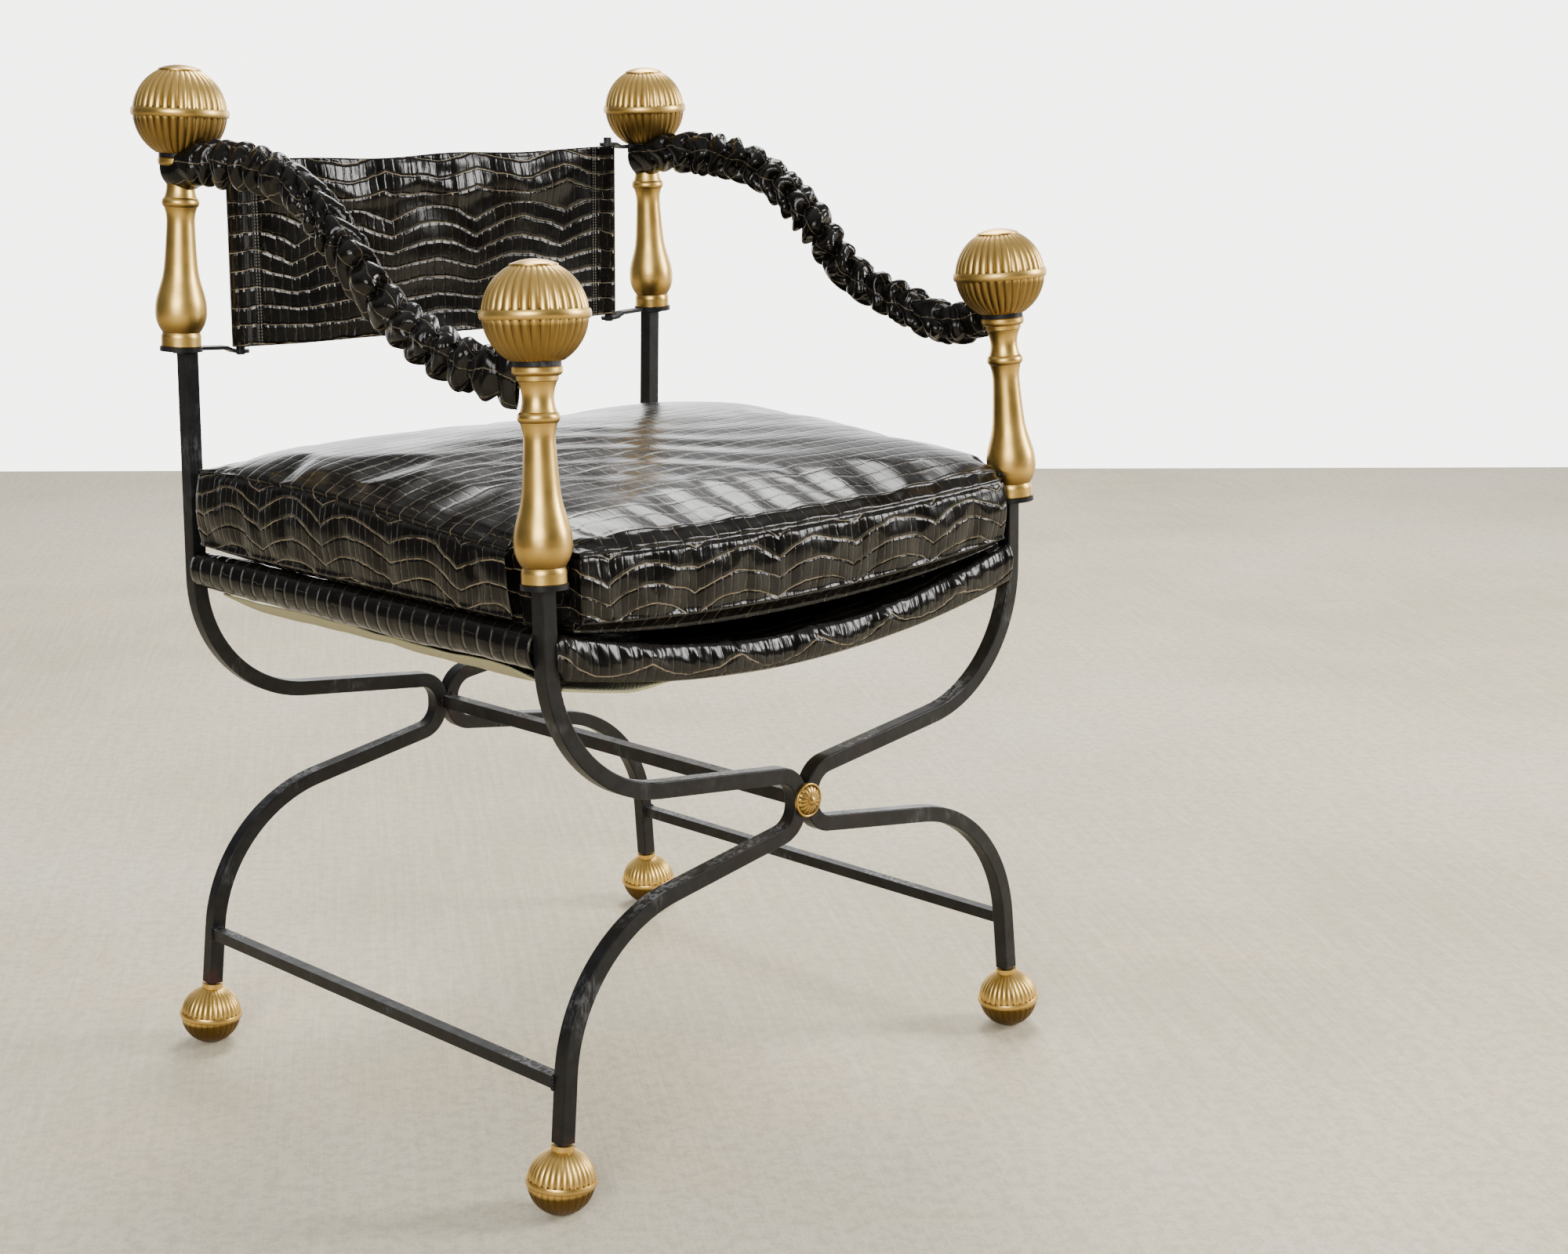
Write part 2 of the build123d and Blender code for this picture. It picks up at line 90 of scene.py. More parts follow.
def calc(tree, operation, *values, clamp=False):
    """One Math node."""
    inputs = dict(enumerate(values))
    return wired(tree, "ShaderNodeMath", inputs, operation=operation, use_clamp=clamp).outputs[0]


def plus(tree, first, second, clamp=False):
    """Sum of two values."""
    return calc(tree, "ADD", first, second, clamp=clamp)


def minus(tree, first, second):
    """Difference of two values."""
    return calc(tree, "SUBTRACT", first, second)


def times(tree, first, second, clamp=False):
    """Product of two values."""
    return calc(tree, "MULTIPLY", first, second, clamp=clamp)


def split(tree, vector):
    """The x, y and z of a vector."""
    return wired(tree, "ShaderNodeSeparateXYZ", {0: vector}).outputs


def blend_from(tree, value, low, high, start=0.0, end=1.0):
    """Smooth step of a value, which is start at low and end at high."""
    inputs = {"Value": value, "From Min": low, "From Max": high, "To Min": start, "To Max": end}
    return wired(tree, "ShaderNodeMapRange", inputs, interpolation_type="SMOOTHSTEP").outputs[0]


def mottle(tree, place, scale, detail=3.0, roughness=0.55, stretch=None):
    """Noise around 0.5 at a place, with an optional stretch along the axes."""
    if stretch:
        stretched = {"Vector": place, "Scale": stretch}
        place = wired(tree, "ShaderNodeMapping", stretched).outputs[0]
    inputs = {"Vector": place, "Scale": scale, "Detail": detail, "Roughness": roughness}
    return wired(tree, "ShaderNodeTexNoise", inputs).outputs[0]


def mixed(tree, share, first, second):
    """Mix of two colours."""
    inputs = {0: share, 6: first, 7: second}
    return wired(tree, "ShaderNodeMix", inputs, data_type="RGBA").outputs[2]


def new_finish(name):
    """A material, its node tree, its shader and the place on the object."""
    finish = bpy.data.materials.new(name)
    finish.use_nodes = True
    tree = finish.node_tree
    place = tree.nodes.new("ShaderNodeTexCoord").outputs["Object"]
    return finish, tree, tree.nodes["Principled BSDF"], place


def set_bump(tree, shader, height, depth, strength=1.0):
    """Bump of a depth in metres."""
    inputs = {"Height": height, "Distance": depth, "Strength": strength}
    bump = wired(tree, "ShaderNodeBump", inputs)
    tree.links.new(bump.outputs[0], shader.inputs["Normal"])


FLOOR_HALF = 3.55
FLOOR_TURN = radians(-46.8)
BROOM_TURN = radians(-12)
CONCRETE = (0.60, 0.520, 0.350, 1)
PALE_CLOUD = (0.79, 0.715, 0.545, 1)
WARM_STAIN = (0.77, 0.62, 0.42, 1)
BROOM_RIDGE = (0.90, 0.85, 0.72, 1)
BLOTCH = (0.42, 0.375, 0.27, 1)
DARK_GRIT = (0.36, 0.33, 0.26, 1)
corners = [(x * FLOOR_HALF, y * FLOOR_HALF, 0) for x, y in ((-1, -1), (1, -1), (1, 1), (-1, 1))]
floor_mesh = bpy.data.meshes.new("floor")
floor_mesh.from_pydata(corners, [], [(0, 1, 2, 3)])
floor = placed("floor", floor_mesh)
floor.rotation_euler = (0, 0, FLOOR_TURN)
concrete, tree, shader, place = new_finish("pale_concrete")
swept = {"Vector": place, "Rotation": (0, 0, BROOM_TURN)}
broom_way = wired(tree, "ShaderNodeMapping", swept).outputs[0]
clouds = blend_from(tree, mottle(tree, place, 0.9, 4.0, 0.6), 0.36, 0.64)
warm = blend_from(tree, mottle(tree, place, 1.7, 3.0, 0.6, (1.0, 2.0, 1.0)), 0.42, 0.66)
broomed = mottle(tree, broom_way, 150.0, 3.0, 0.6, (1.0, 0.03, 1.0))
grit = mottle(tree, place, 420.0, 2.0, 0.7)
blotch = blend_from(tree, mottle(tree, place, 75.0, 4.0, 0.75), 0.56, 0.40, 0.0, 0.34)
tone = mixed(tree, clouds, CONCRETE, PALE_CLOUD)
tone = mixed(tree, times(tree, warm, 0.6), tone, WARM_STAIN)
tone = mixed(tree, blend_from(tree, broomed, 0.38, 0.66, 0.0, 0.24), tone, BROOM_RIDGE)
tone = mixed(tree, blotch, tone, BLOTCH)
tone = mixed(tree, blend_from(tree, grit, 0.30, 0.48, 0.35, 0.0), tone, DARK_GRIT)
tree.links.new(tone, shader.inputs["Base Color"])
shader.inputs["Roughness"].default_value = 0.62
set_bump(tree, shader, plus(tree, broomed, times(tree, grit, 0.5)), 0.0008)
floor_mesh.materials.append(concrete)


def soft_light(name, at, look_at, size, power, colour):
    """A large oblong studio light."""
    light = bpy.data.lights.new(name, "AREA")
    light.shape = "RECTANGLE"
    light.size, light.size_y = size
    light.energy = power
    light.color = colour
    lamp = placed(name, light)
    lamp.location = at
    lamp.rotation_euler = (Vector(look_at) - Vector(at)).to_track_quat("-Z", "Y").to_euler()


CHAIR_MIDDLE = (0, 0, 0.5)
FLOOR_BEHIND = (0.6, 0.6, 0.0)
DAYLIGHT, LAMPLIGHT, TOP_LIGHT = (1.0, 0.985, 0.955), (1.0, 0.985, 0.96), (1.0, 0.99, 0.97)
soft_light("window_light", (2.9, -2.45, 1.75), CHAIR_MIDDLE, (0.9, 1.9), 160.0, DAYLIGHT)
soft_light("key_light", (-3.1, -2.1, 1.75), CHAIR_MIDDLE, (1.8, 1.7), 130.0, LAMPLIGHT)
soft_light("top_light", (1.9, 1.5, 3.2), FLOOR_BEHIND, (1.6, 1.6), 130.0, TOP_LIGHT)

BEHIND_CHAIR = (0.72, 0.69, 0.0)
WALL_GLOW = 3.9
BACKGROUND = (5.2, 5.1, 4.95, 1)
world = bpy.data.worlds.new("pale_room")
world.use_nodes = True
bpy.context.scene.world = world
sky = world.node_tree
direction = sky.nodes.new("ShaderNodeTexCoord").outputs["Generated"]
toward = {0: direction, 1: BEHIND_CHAIR}
behind = wired(sky, "ShaderNodeVectorMath", toward, operation="DOT_PRODUCT").outputs["Value"]
climb = split(sky, direction)[2]
low_down = blend_from(sky, climb, 0.16, 0.40, 1.0, 0.0)
wall = times(sky, blend_from(sky, behind, 0.45, 0.95), low_down)
ceiling = blend_from(sky, climb, 0.2, 1.0, 0.12, 0.62)
glow = plus(sky, times(sky, wall, WALL_GLOW), ceiling)
grey = wired(sky, "ShaderNodeCombineColor", {0: glow, 1: glow, 2: glow}).outputs[0]
seen = sky.nodes.new("ShaderNodeLightPath").outputs["Is Camera Ray"]
sky.links.new(mixed(sky, seen, grey, BACKGROUND), sky.nodes["Background"].inputs["Color"])
sky.nodes["Background"].inputs["Strength"].default_value = 1.0

# ---- iron frame --------------------------------------------------------------------------
# Two X frames of bent 14 mm square bar, the rails between them, and the plates and brackets
# that clamp the columns. All are welded, painted satin black, and rubbed to rust in places.
FOOT_WELD_Z = (0.056, 0.085)
JOINT_Z = 0.283
BAR = 0.014
DARK_PAINT, THIN_PAINT = (0.0045, 0.0045, 0.005, 1), (0.011, 0.0112, 0.0125, 1)
RUST = (0.075, 0.017, 0.010, 1)
DUST = (0.20, 0.205, 0.22, 1)


def black_iron_finish():
    """Satin black paint with a faint hammered skin, dust and scuffs on top and rust below."""
    finish, tree, shader, place = new_finish("black_iron_paint")
    skin = mottle(tree, place, 55.0, 4.0, 0.6)
    streak = mottle(tree, place, 14.0, 4.0, 0.65)
    scratch = mottle(tree, place, 260.0, 3.0, 0.7, (1.0, 1.0, 0.25))
    _, _, height = split(tree, place)
    _, _, upward = split(tree, tree.nodes.new("ShaderNodeNewGeometry").outputs["Normal"])
    foot = blend_from(tree, height, *FOOT_WELD_Z, 0.75, 0.0)
    joint_distance = calc(tree, "ABSOLUTE", minus(tree, height, JOINT_Z))
    joint = blend_from(tree, joint_distance, 0.004, 0.05, 0.35, 0.0)
    rubbed = times(tree, plus(tree, foot, joint), blend_from(tree, streak, 0.5, 0.72))
    rust_spots = blend_from(tree, mottle(tree, place, 26.0, 5.0, 0.7), 0.63, 0.72)
    rust = plus(tree, rubbed, times(tree, rust_spots, 0.35), clamp=True)
    level_top = blend_from(tree, upward, 0.75, 0.97)
    worn_top = times(tree, level_top, blend_from(tree, streak, 0.42, 0.62))
    scuffs = blend_from(tree, mottle(tree, place, 8.0, 4.0, 0.7), 0.55, 0.68)
    pale = plus(tree, worn_top, times(tree, scuffs, 0.35), clamp=True)
    pale = times(tree, pale, blend_from(tree, scratch, 0.40, 0.62))
    colour = mixed(tree, blend_from(tree, skin, 0.3, 0.75), DARK_PAINT, THIN_PAINT)
    colour = mixed(tree, rust, colour, RUST)
    colour = mixed(tree, times(tree, pale, 0.85), colour, DUST)
    tree.links.new(colour, shader.inputs["Base Color"])
    rough = blend_from(tree, streak, 0.3, 0.75, 0.34, 0.50)
    rough = plus(tree, rough, times(tree, rust, 0.25), clamp=True)
    tree.links.new(rough, shader.inputs["Roughness"])
    shader.inputs["Specular IOR Level"].default_value = 0.24
    set_bump(tree, shader, plus(tree, times(tree, skin, 0.35), streak), 0.0012, 0.7)
    return finish


def dress(nodes, finish):
    """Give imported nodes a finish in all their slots."""
    for name in nodes:
        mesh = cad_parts[name].data
        mesh.materials.clear()
        mesh.materials.append(finish)


SIDES = {"left": -1, "right": 1}
CORNERS = [f"{end}_{side}" for end in ("front", "rear") for side in SIDES]
iron_nodes = [f"{corner}_leg" for corner in CORNERS] + ["centre_rail"]
for side in SIDES:
    iron_nodes += [f"{side}_foot_rail", f"{side}_seat_rod", f"{side}_back_rod"]
    iron_nodes += [f"front_{side}_lower_plate", f"front_{side}_upper_plate"]
    iron_nodes += [f"rear_{side}_lower_bracket", f"rear_{side}_upper_bracket"]
black_iron = black_iron_finish()
dress(iron_nodes, black_iron)

# Beads of weld round the ends of the three rails and the tops of the posts, under the paint.
BEAD = 0.0021
BEAD_LUMPS = 0.0004
POST_WELD_DROP = 0.0005
beads = bmesh.new()


def wave(x, y, z):
    """Smooth noise from -1 to 1."""
    return noise.noise(Vector((x, y, z)))


def middle_of(name):
    """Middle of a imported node's box."""
    low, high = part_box(name)
    return (low + high) / 2


def weld_round(centre, axis, half_a, half_b, seed):
    """Overlapping beads round a square bar's section, where it ends at another piece."""
    other = [k for k in range(3) if k != axis]
    for side in range(4):
        for k in range(4):
            along = (k - 1.5) / 1.8
            a, b = [(along, 1), (1, along), (along, -1), (-1, along)][side]
            spot = centre.copy()
            spot[other[0]] += a * half_a
            spot[other[1]] += b * half_b
            radius = BEAD * (1 + 0.35 * wave(seed, side * 3.1, k * 1.7))
            at = Matrix.Translation(spot)
            bmesh.ops.create_icosphere(beads, subdivisions=2, radius=radius, matrix=at)


for number, name in enumerate(("left_foot_rail", "right_foot_rail", "centre_rail")):
    low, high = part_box(name)
    middle, half = middle_of(name), (high - low) / 2
    for y in (low.y, high.y):
        weld_round(Vector((middle.x, y, middle.z)), 1, half.x, half.z, number + 10 * y)
for number, corner in enumerate(CORNERS):
    spot = middle_of(f"{corner}_column")
    spot.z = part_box(f"{corner}_leg")[1].z - POST_WELD_DROP
    weld_round(spot, 2, BAR / 2, BAR / 2, 20.0 + number)
for vertex in beads.verts:
    vertex.co += Vector((1, 1, 1)) * BEAD_LUMPS * noise.noise(vertex.co * 700)
for face in beads.faces:
    face.smooth = True
bead_mesh = bpy.data.meshes.new("weld_beads")
beads.to_mesh(bead_mesh)
beads.free()
bead_mesh.materials.append(black_iron)
welds = placed("weld_beads", bead_mesh)
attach(welds, "frame")

# ---- studs and tie rods ------------------------------------------------------------------
# Plain steel rods that hold each column and ball together and join the ball feet to the legs.
BROWN_STEEL, BARE_STEEL = (0.10, 0.085, 0.07, 1), (0.30, 0.28, 0.26, 1)
steel, tree, shader, place = new_finish("dull_steel")
grimy = mixed(tree, mottle(tree, place, 90.0, 3.0), BROWN_STEEL, BARE_STEEL)
tree.links.new(grimy, shader.inputs["Base Color"])
shader.inputs["Metallic"].default_value = 1.0
shader.inputs["Roughness"].default_value = 0.45
dress(["foot_studs", "tie_rods"], steel)

# ---- turned and fluted brass -------------------------------------------------------------
# Columns turned from tube, hollow fluted balls above and below, and a fluted disc on the
# front junction. The brass has mellowed to a satin gold, and is brown in the hollows.
RAYS = 16
BUTTON_EDGE, RIM_EDGE = (0.0036, 0.0048), (0.0122, 0.0130)
BELOW_RING = (0.008, 0.004)
DEEP_GOLD, PALE_GOLD = (0.66, 0.41, 0.105, 1), (0.84, 0.575, 0.180, 1)
TARNISH = (0.36, 0.22, 0.065, 1)
OLD_GOLD = (0.30, 0.175, 0.042, 1)
SHADE_BROWN = (0.105, 0.060, 0.016, 1)
HOLLOW_BROWN = (0.060, 0.034, 0.010, 1)
POLISH_DUST = (0.36, 0.37, 0.27, 1)


def disc_rays(tree, place, hub):
    """Share of brown in the hollows between the lobes of a disc about its hub."""
    x, _, z = split(tree, place)
    off_x, off_z = minus(tree, x, hub.x), minus(tree, z, hub.z)
    turn = times(tree, calc(tree, "ARCTAN2", off_z, off_x), RAYS / (2 * pi))
    ray = blend_from(tree, calc(tree, "PINGPONG", turn, 0.5), 0.05, 0.24, 1.0, 0.0)
    squares = plus(tree, times(tree, off_x, off_x), times(tree, off_z, off_z))
    reach = calc(tree, "SQRT", squares)
    ray = times(tree, ray, blend_from(tree, reach, *BUTTON_EDGE))
    return times(tree, ray, blend_from(tree, reach, *RIM_EDGE, 1.0, 0.0))


def brass_finish(name, ring=None, age=0.0, ring_shade=0.78, hub=None):
    """Satin brass, brown in the hollows, with a painted shade on its downward faces and below
    a ring at a height, where it is also duller.

    age is how far the gold has darkened, ring_shade is how dark the painted shade is below the
    ring, and hub is the middle of a disc whose rays are brown between its button and its rim."""
    finish, tree, shader, place = new_finish(name)
    soft = mottle(tree, place, 22.0, 4.0, 0.6)
    fine = mottle(tree, place, 240.0, 3.0, 0.6)
    tarnish = blend_from(tree, mottle(tree, place, 9.0, 5.0, 0.65), 0.42, 0.72)
    geometry = tree.nodes.new("ShaderNodeNewGeometry")
    hollow = blend_from(tree, geometry.outputs["Pointiness"], 0.44, 0.494, 1.0, 0.0)
    if hub is not None:
        hollow = calc(tree, "MAXIMUM", hollow, disc_rays(tree, place, hub))
    _, _, facing = split(tree, geometry.outputs["Normal"])
    _, _, height = split(tree, place)
    # Painted shade: faces that point down, and below a ring everything lower, are painted brown and
    # made duller.
    below = blend_from(tree, facing, -0.55, 0.0, 0.8, 0.0)
    if ring is not None:
        edge = [ring - drop for drop in BELOW_RING]
        below = calc(tree, "MAXIMUM", below, blend_from(tree, height, *edge, ring_shade, 0.0))
    gold = mixed(tree, soft, DEEP_GOLD, PALE_GOLD)
    gold = mixed(tree, times(tree, tarnish, 0.45), gold, TARNISH)
    if age:
        gold = mixed(tree, age, gold, OLD_GOLD)
    gold = mixed(tree, below, gold, SHADE_BROWN)
    gold = mixed(tree, times(tree, hollow, 0.88), gold, HOLLOW_BROWN)
    dusty = blend_from(tree, mottle(tree, place, 160.0, 3.0, 0.7), 0.56, 0.68)
    gold = mixed(tree, times(tree, times(tree, hollow, dusty), 0.45), gold, POLISH_DUST)
    tree.links.new(gold, shader.inputs["Base Color"])
    shader.inputs["Metallic"].default_value = 1.0
    rough = plus(tree, blend_from(tree, soft, 0.3, 0.7, 0.31, 0.40), times(tree, hollow, 0.2))
    rough = plus(tree, rough, times(tree, below, 0.12), clamp=True)
    tree.links.new(rough, shader.inputs["Roughness"])
    set_bump(tree, shader, plus(tree, times(tree, fine, 0.25), soft), 0.0004, 0.5)
    return finish


dress([f"{corner}_column" for corner in CORNERS], brass_finish("aged_brass_satin"))
dress(["rosette"], brass_finish("aged_brass_rosette", age=0.55, hub=middle_of("rosette")))
for end in ("front", "rear"):
    finials = [f"{end}_{side}_ball_finial" for side in SIDES]
    dress(finials, brass_finish(f"aged_brass_{end}_finials", middle_of(finials[0]).z))
feet = [f"{corner}_ball_foot" for corner in CORNERS]
# The feet get a deeper painted shade below their middles.
dress(feet, brass_finish("aged_brass_feet", middle_of(feet[0]).z, ring_shade=0.96))

# ---- back panel --------------------------------------------------------------------------
# One piece of black crocodile-embossed leather, wrapped round a rod at each end and stitched
# back on itself, stretched between the four brackets.
DARK_SCALE, LIGHT_SCALE = (0.0024, 0.0022, 0.0019, 1), (0.0062, 0.0055, 0.0046, 1)
TAN_CREASE = (0.27, 0.215, 0.135, 1)
THREAD_GREY = (0.30, 0.29, 0.26, 1)


def scale_grid(tree, hide, row, column, arch, period, stagger, fade_to, flip_at):
    """Distance from a scale's long and cross creases, and its own tone from 0 to 1."""
    along, across, _ = split(tree, hide)

    def spread(scale, detail, at=hide):
        """Noise around 0."""
        return minus(tree, mottle(tree, at, scale, detail), 0.5)

    drift = spread(11.0, 2.0)
    bent = plus(tree, along, times(tree, drift, 0.035))
    arches = calc(tree, "ABSOLUTE", calc(tree, "SINE", times(tree, bent, pi / period)))
    arches = times(tree, minus(tree, arches, 0.64), arch)
    uneven = blend_from(tree, mottle(tree, hide, 9.0, 1.0), 0.3, 0.7, 0.75, 1.2)
    arches = times(tree, arches, uneven)
    if fade_to is not None:
        arches = times(tree, arches, blend_from(tree, across, 0.0, fade_to, 0.18, 1.0))
    if flip_at is not None:
        flip = blend_from(tree, across, flip_at - 0.010, flip_at + 0.010, -1.0, 0.7)
        arches = times(tree, arches, flip)
    tremble = times(tree, spread(70.0, 3.0), 0.0035)
    wander = plus(tree, tremble, times(tree, drift, 0.016))
    rows = calc(tree, "DIVIDE", plus(tree, plus(tree, across, arches), wander), row)
    row_number = calc(tree, "FLOOR", rows)
    in_row = times(tree, calc(tree, "PINGPONG", rows, 0.5), row)

    of_row = wired(tree, "ShaderNodeTexWhiteNoise", {"W": row_number}, noise_dimensions="1D")
    shift = times(tree, of_row.outputs[0], stagger)
    on_row = {0: along, 1: times(tree, row_number, 0.37)}
    on_row = wired(tree, "ShaderNodeCombineXYZ", on_row).outputs[0]
    sway = times(tree, spread(45.0, 1.0, on_row), 0.4 + 1.1 * stagger)
    lean_in = times(tree, spread(60.0, 2.0), 0.5)
    columns = plus(tree, calc(tree, "DIVIDE", along, column), shift)
    columns = plus(tree, columns, plus(tree, sway, lean_in))
    in_column = times(tree, calc(tree, "PINGPONG", columns, 0.5), column)
    cell = {0: calc(tree, "FLOOR", columns), 1: row_number}
    cell = {"Vector": wired(tree, "ShaderNodeCombineXYZ", cell).outputs[0]}
    own_tone = wired(tree, "ShaderNodeTexWhiteNoise", cell, noise_dimensions="2D").outputs[0]
    return in_row, in_column, own_tone


def embossed_leather(name, row, column, arch, period, lines=1.0, cross=0.42, stagger=1.0,
                     fade_to=None, flip_at=None, seams=(), steady=0.0, depth=0.0011, matt=0.0):
    """Glossy black leather with rows of long scales, from the hide's own coordinates.

    row and column are a scale's height and width. The rows run in arches of a height and a
    period, which are low at 0 and full at fade_to, and turn over at flip_at; all are in metres
    on the hide. lines and cross are how pale the creases are, stagger shifts each row, and
    seams are the places of stitch rows along the hide. steady evens out the cross creases,
    depth is how deep the scales are embossed, and matt is how much duller the hide is."""
    finish, tree, shader, _ = new_finish(name)
    hide = wired(tree, "ShaderNodeUVMap", {}, uv_map="hide").outputs[0]
    along, across, _ = split(tree, hide)
    in_row, in_column, own_tone = scale_grid(tree, hide, row, column, arch, period, stagger,
                                             fade_to, flip_at)
    worn = mottle(tree, hide, 130.0, 4.0, 0.65)
    patch = mottle(tree, hide, 16.0, 3.0)
    long_line = blend_from(tree, in_row, 0.0002, 0.0007, 1.0, 0.0)
    cross_line = blend_from(tree, in_column, 0.00012, 0.0005, 1.0, 0.0)
    scale_share = plus(tree, times(tree, own_tone, 1.0 - steady), steady)
    long_worn = plus(tree, worn, times(tree, patch, 0.6))
    long_tan = times(tree, long_line, blend_from(tree, long_worn, 0.62, 0.92, 0.12, 1.0))
    cross_worn = blend_from(tree, worn, 0.42, 0.7, 0.05, cross)
    cross_tan = times(tree, times(tree, cross_line, scale_share), cross_worn)
    tan_share = times(tree, calc(tree, "MAXIMUM", long_tan, cross_tan), lines, clamp=True)
    body = mixed(tree, own_tone, DARK_SCALE, LIGHT_SCALE)
    colour = mixed(tree, tan_share, body, TAN_CREASE)
    groove = 0.0
    for at in seams:
        gap = calc(tree, "ABSOLUTE", minus(tree, along, at))
        dash = blend_from(tree, calc(tree, "PINGPONG", across, 0.0014), 0.0004, 0.0007)
        stitch = times(tree, blend_from(tree, gap, 0.0003, 0.0006, 1.0, 0.0), dash)
        colour = mixed(tree, times(tree, stitch, 0.5), colour, THREAD_GREY)
        groove = calc(tree, "MAXIMUM", groove, blend_from(tree, gap, 0.0, 0.0035, 1.0, 0.0))
    tree.links.new(colour, shader.inputs["Base Color"])
    gloss = blend_from(tree, patch, 0.3, 0.7, 0.13 + matt, 0.22 + matt)
    rough = plus(tree, gloss, times(tree, tan_share, 0.3))
    tree.links.new(rough, shader.inputs["Roughness"])
    shader.inputs["Specular IOR Level"].default_value = 0.26
    crease = mottle(tree, hide, 420.0, 3.0, 0.6, (1.0, 0.22, 1.0))
    grain = plus(tree, times(tree, crease, 0.16), times(tree, own_tone, 0.10))
    pillow = blend_from(tree, in_row, 0.0, 0.0028)
    ribs = blend_from(tree, in_column, 0.0, 0.0017)
    relief = plus(tree, times(tree, pillow, 0.55), times(tree, ribs, 0.20))
    relief = plus(tree, plus(tree, relief, grain), times(tree, patch, 0.5))
    if seams:
        relief = minus(tree, relief, times(tree, groove, 1.1))
    set_bump(tree, shader, relief, depth, 0.9)
    return finish


def hide_mesh(name, points, hide, faces, finish):
    """A smooth mesh with the hide's coordinates for each point, linked into the scene."""
    mesh = bpy.data.meshes.new(name)
    mesh.from_pydata(points, [], faces)
    layer = mesh.uv_layers.new(name="hide")
    for corner in mesh.loops:
        layer.data[corner.index].uv = hide[corner.vertex_index]
    mesh.polygons.foreach_set("use_smooth", [True] * len(mesh.polygons))
    mesh.materials.append(finish)
    mesh.update()
    return placed(name, mesh)


def thicken(piece, thickness, offset):
    """Give a sheet its thickness, to both sides with offset 0 and inward with offset -1."""
    skin = piece.modifiers.new("skin", "SOLIDIFY")
    skin.thickness = thickness
    skin.offset = offset


def strip_faces(columns, rows):
    """Quads of a grid of points stored column by column."""
    faces = []
    for i in range(columns - 1):
        a, b = i * rows, (i + 1) * rows
        faces += [(a + j, b + j, b + j + 1, a + j + 1) for j in range(rows - 1)]
    return faces


def smooth_step(x):
    """Ease from 0 to 1 as x goes from 0 to 1."""
    x = min(max(x, 0.0), 1.0)
    return x * x * (3 - 2 * x)


ROD_X = 0.2185
ROD_WRAP = 0.0062
ROD_BLEND = 0.014
HEM_BACK, HEM_OFF = 0.021, 0.0022
PANEL_OFF = 0.0012
PANEL_SKIN = 0.0019
PANEL_COLUMNS, PANEL_ROWS = 190, 86
SWAG = 0.104
STITCHES = (0.0605, 0.0635)
rod_low, rod_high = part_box("left_back_rod")
panel_low, panel_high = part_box("back_panel")
panel_height = panel_high.z - panel_low.z
y_at_bottom, y_at_top = rod_high.y - 0.004, rod_low.y + 0.004

turned_back = []
for i in range(8):
    t = i / 7
    off = HEM_OFF + (ROD_WRAP - HEM_OFF) * smooth_step(t)
    turned_back.append((-ROD_X + HEM_BACK * (1 - t), off))
for i in range(1, 12):
    angle = pi / 2 + pi * i / 12
    turned_back.append((-ROD_X + ROD_WRAP * cos(angle), ROD_WRAP * sin(angle)))
plan = list(turned_back)
for i in range(PANEL_COLUMNS + 1):
    x = -ROD_X + 2 * ROD_X * i / PANEL_COLUMNS
    near_rod = (abs(x) - (ROD_X - ROD_BLEND)) / ROD_BLEND
    plan.append((x, -PANEL_OFF - (ROD_WRAP - PANEL_OFF) * smooth_step(near_rod)))
plan += [(-x, y) for x, y in reversed(turned_back)]

points, hide = [], []
travel = 0.0
for i, (x, y) in enumerate(plan):
    if i:
        travel += hypot(x - plan[i - 1][0], y - plan[i - 1][1])
    middle = 1 - smooth_step((abs(x) - 0.14) / 0.06)
    bow = 1 - (x / ROD_X) ** 2
    top = panel_height * (1 - 0.012 * bow) + 0.0016 * sin(x * 34 + 0.6) * bow
    top += 0.0021 * (x / ROD_X - 1)
    bottom = -0.0030 * bow - 0.0012 * sin(x * 21) * bow
    for j in range(PANEL_ROWS):
        v = j / (PANEL_ROWS - 1)
        z = bottom + (top - bottom) * v
        from_top = (1 - v) * panel_height
        swag = 0.030 + 0.006 * cos(2 * pi * (x - 0.029) / SWAG)
        fold = exp(-((from_top - swag) / 0.012) ** 2) * (1.0 + 0.5 * wave(x * 31, 0.7, v * 5))
        slack = 0.0042 * wave(x * 9, v * 2.2, 3.1) * bow
        slack -= 0.0026 * fold * middle
        slack += 0.0011 * sin(x * 90 + 2.5 * v) * middle * smooth_step((v - 0.45) / 0.3)
        slack += 0.0006 * wave(x * 130, v * 2.5, 5.5) * middle * smooth_step((v - 0.5) / 0.3)
        roll = 0.0026 * exp(-(from_top / 0.006) ** 2) * middle
        lean = y_at_bottom + (y_at_top - y_at_bottom) * v
        points.append((x, lean + y + slack + roll, panel_low.z + z))
        hide.append((travel, z))
stitched = [run for at in STITCHES for run in (at, travel - at)]
panel_leather = embossed_leather("back_panel_leather", 0.0162, 0.0095, 0.0145, SWAG, 0.85,
                                 fade_to=0.11, flip_at=0.120, seams=stitched)
panel_faces = strip_faces(len(plan), PANEL_ROWS)
back = hide_mesh("back_leather", points, hide, panel_faces, panel_leather)
thicken(back, PANEL_SKIN, 0.0)
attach(back, "frame")
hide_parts("back_panel")


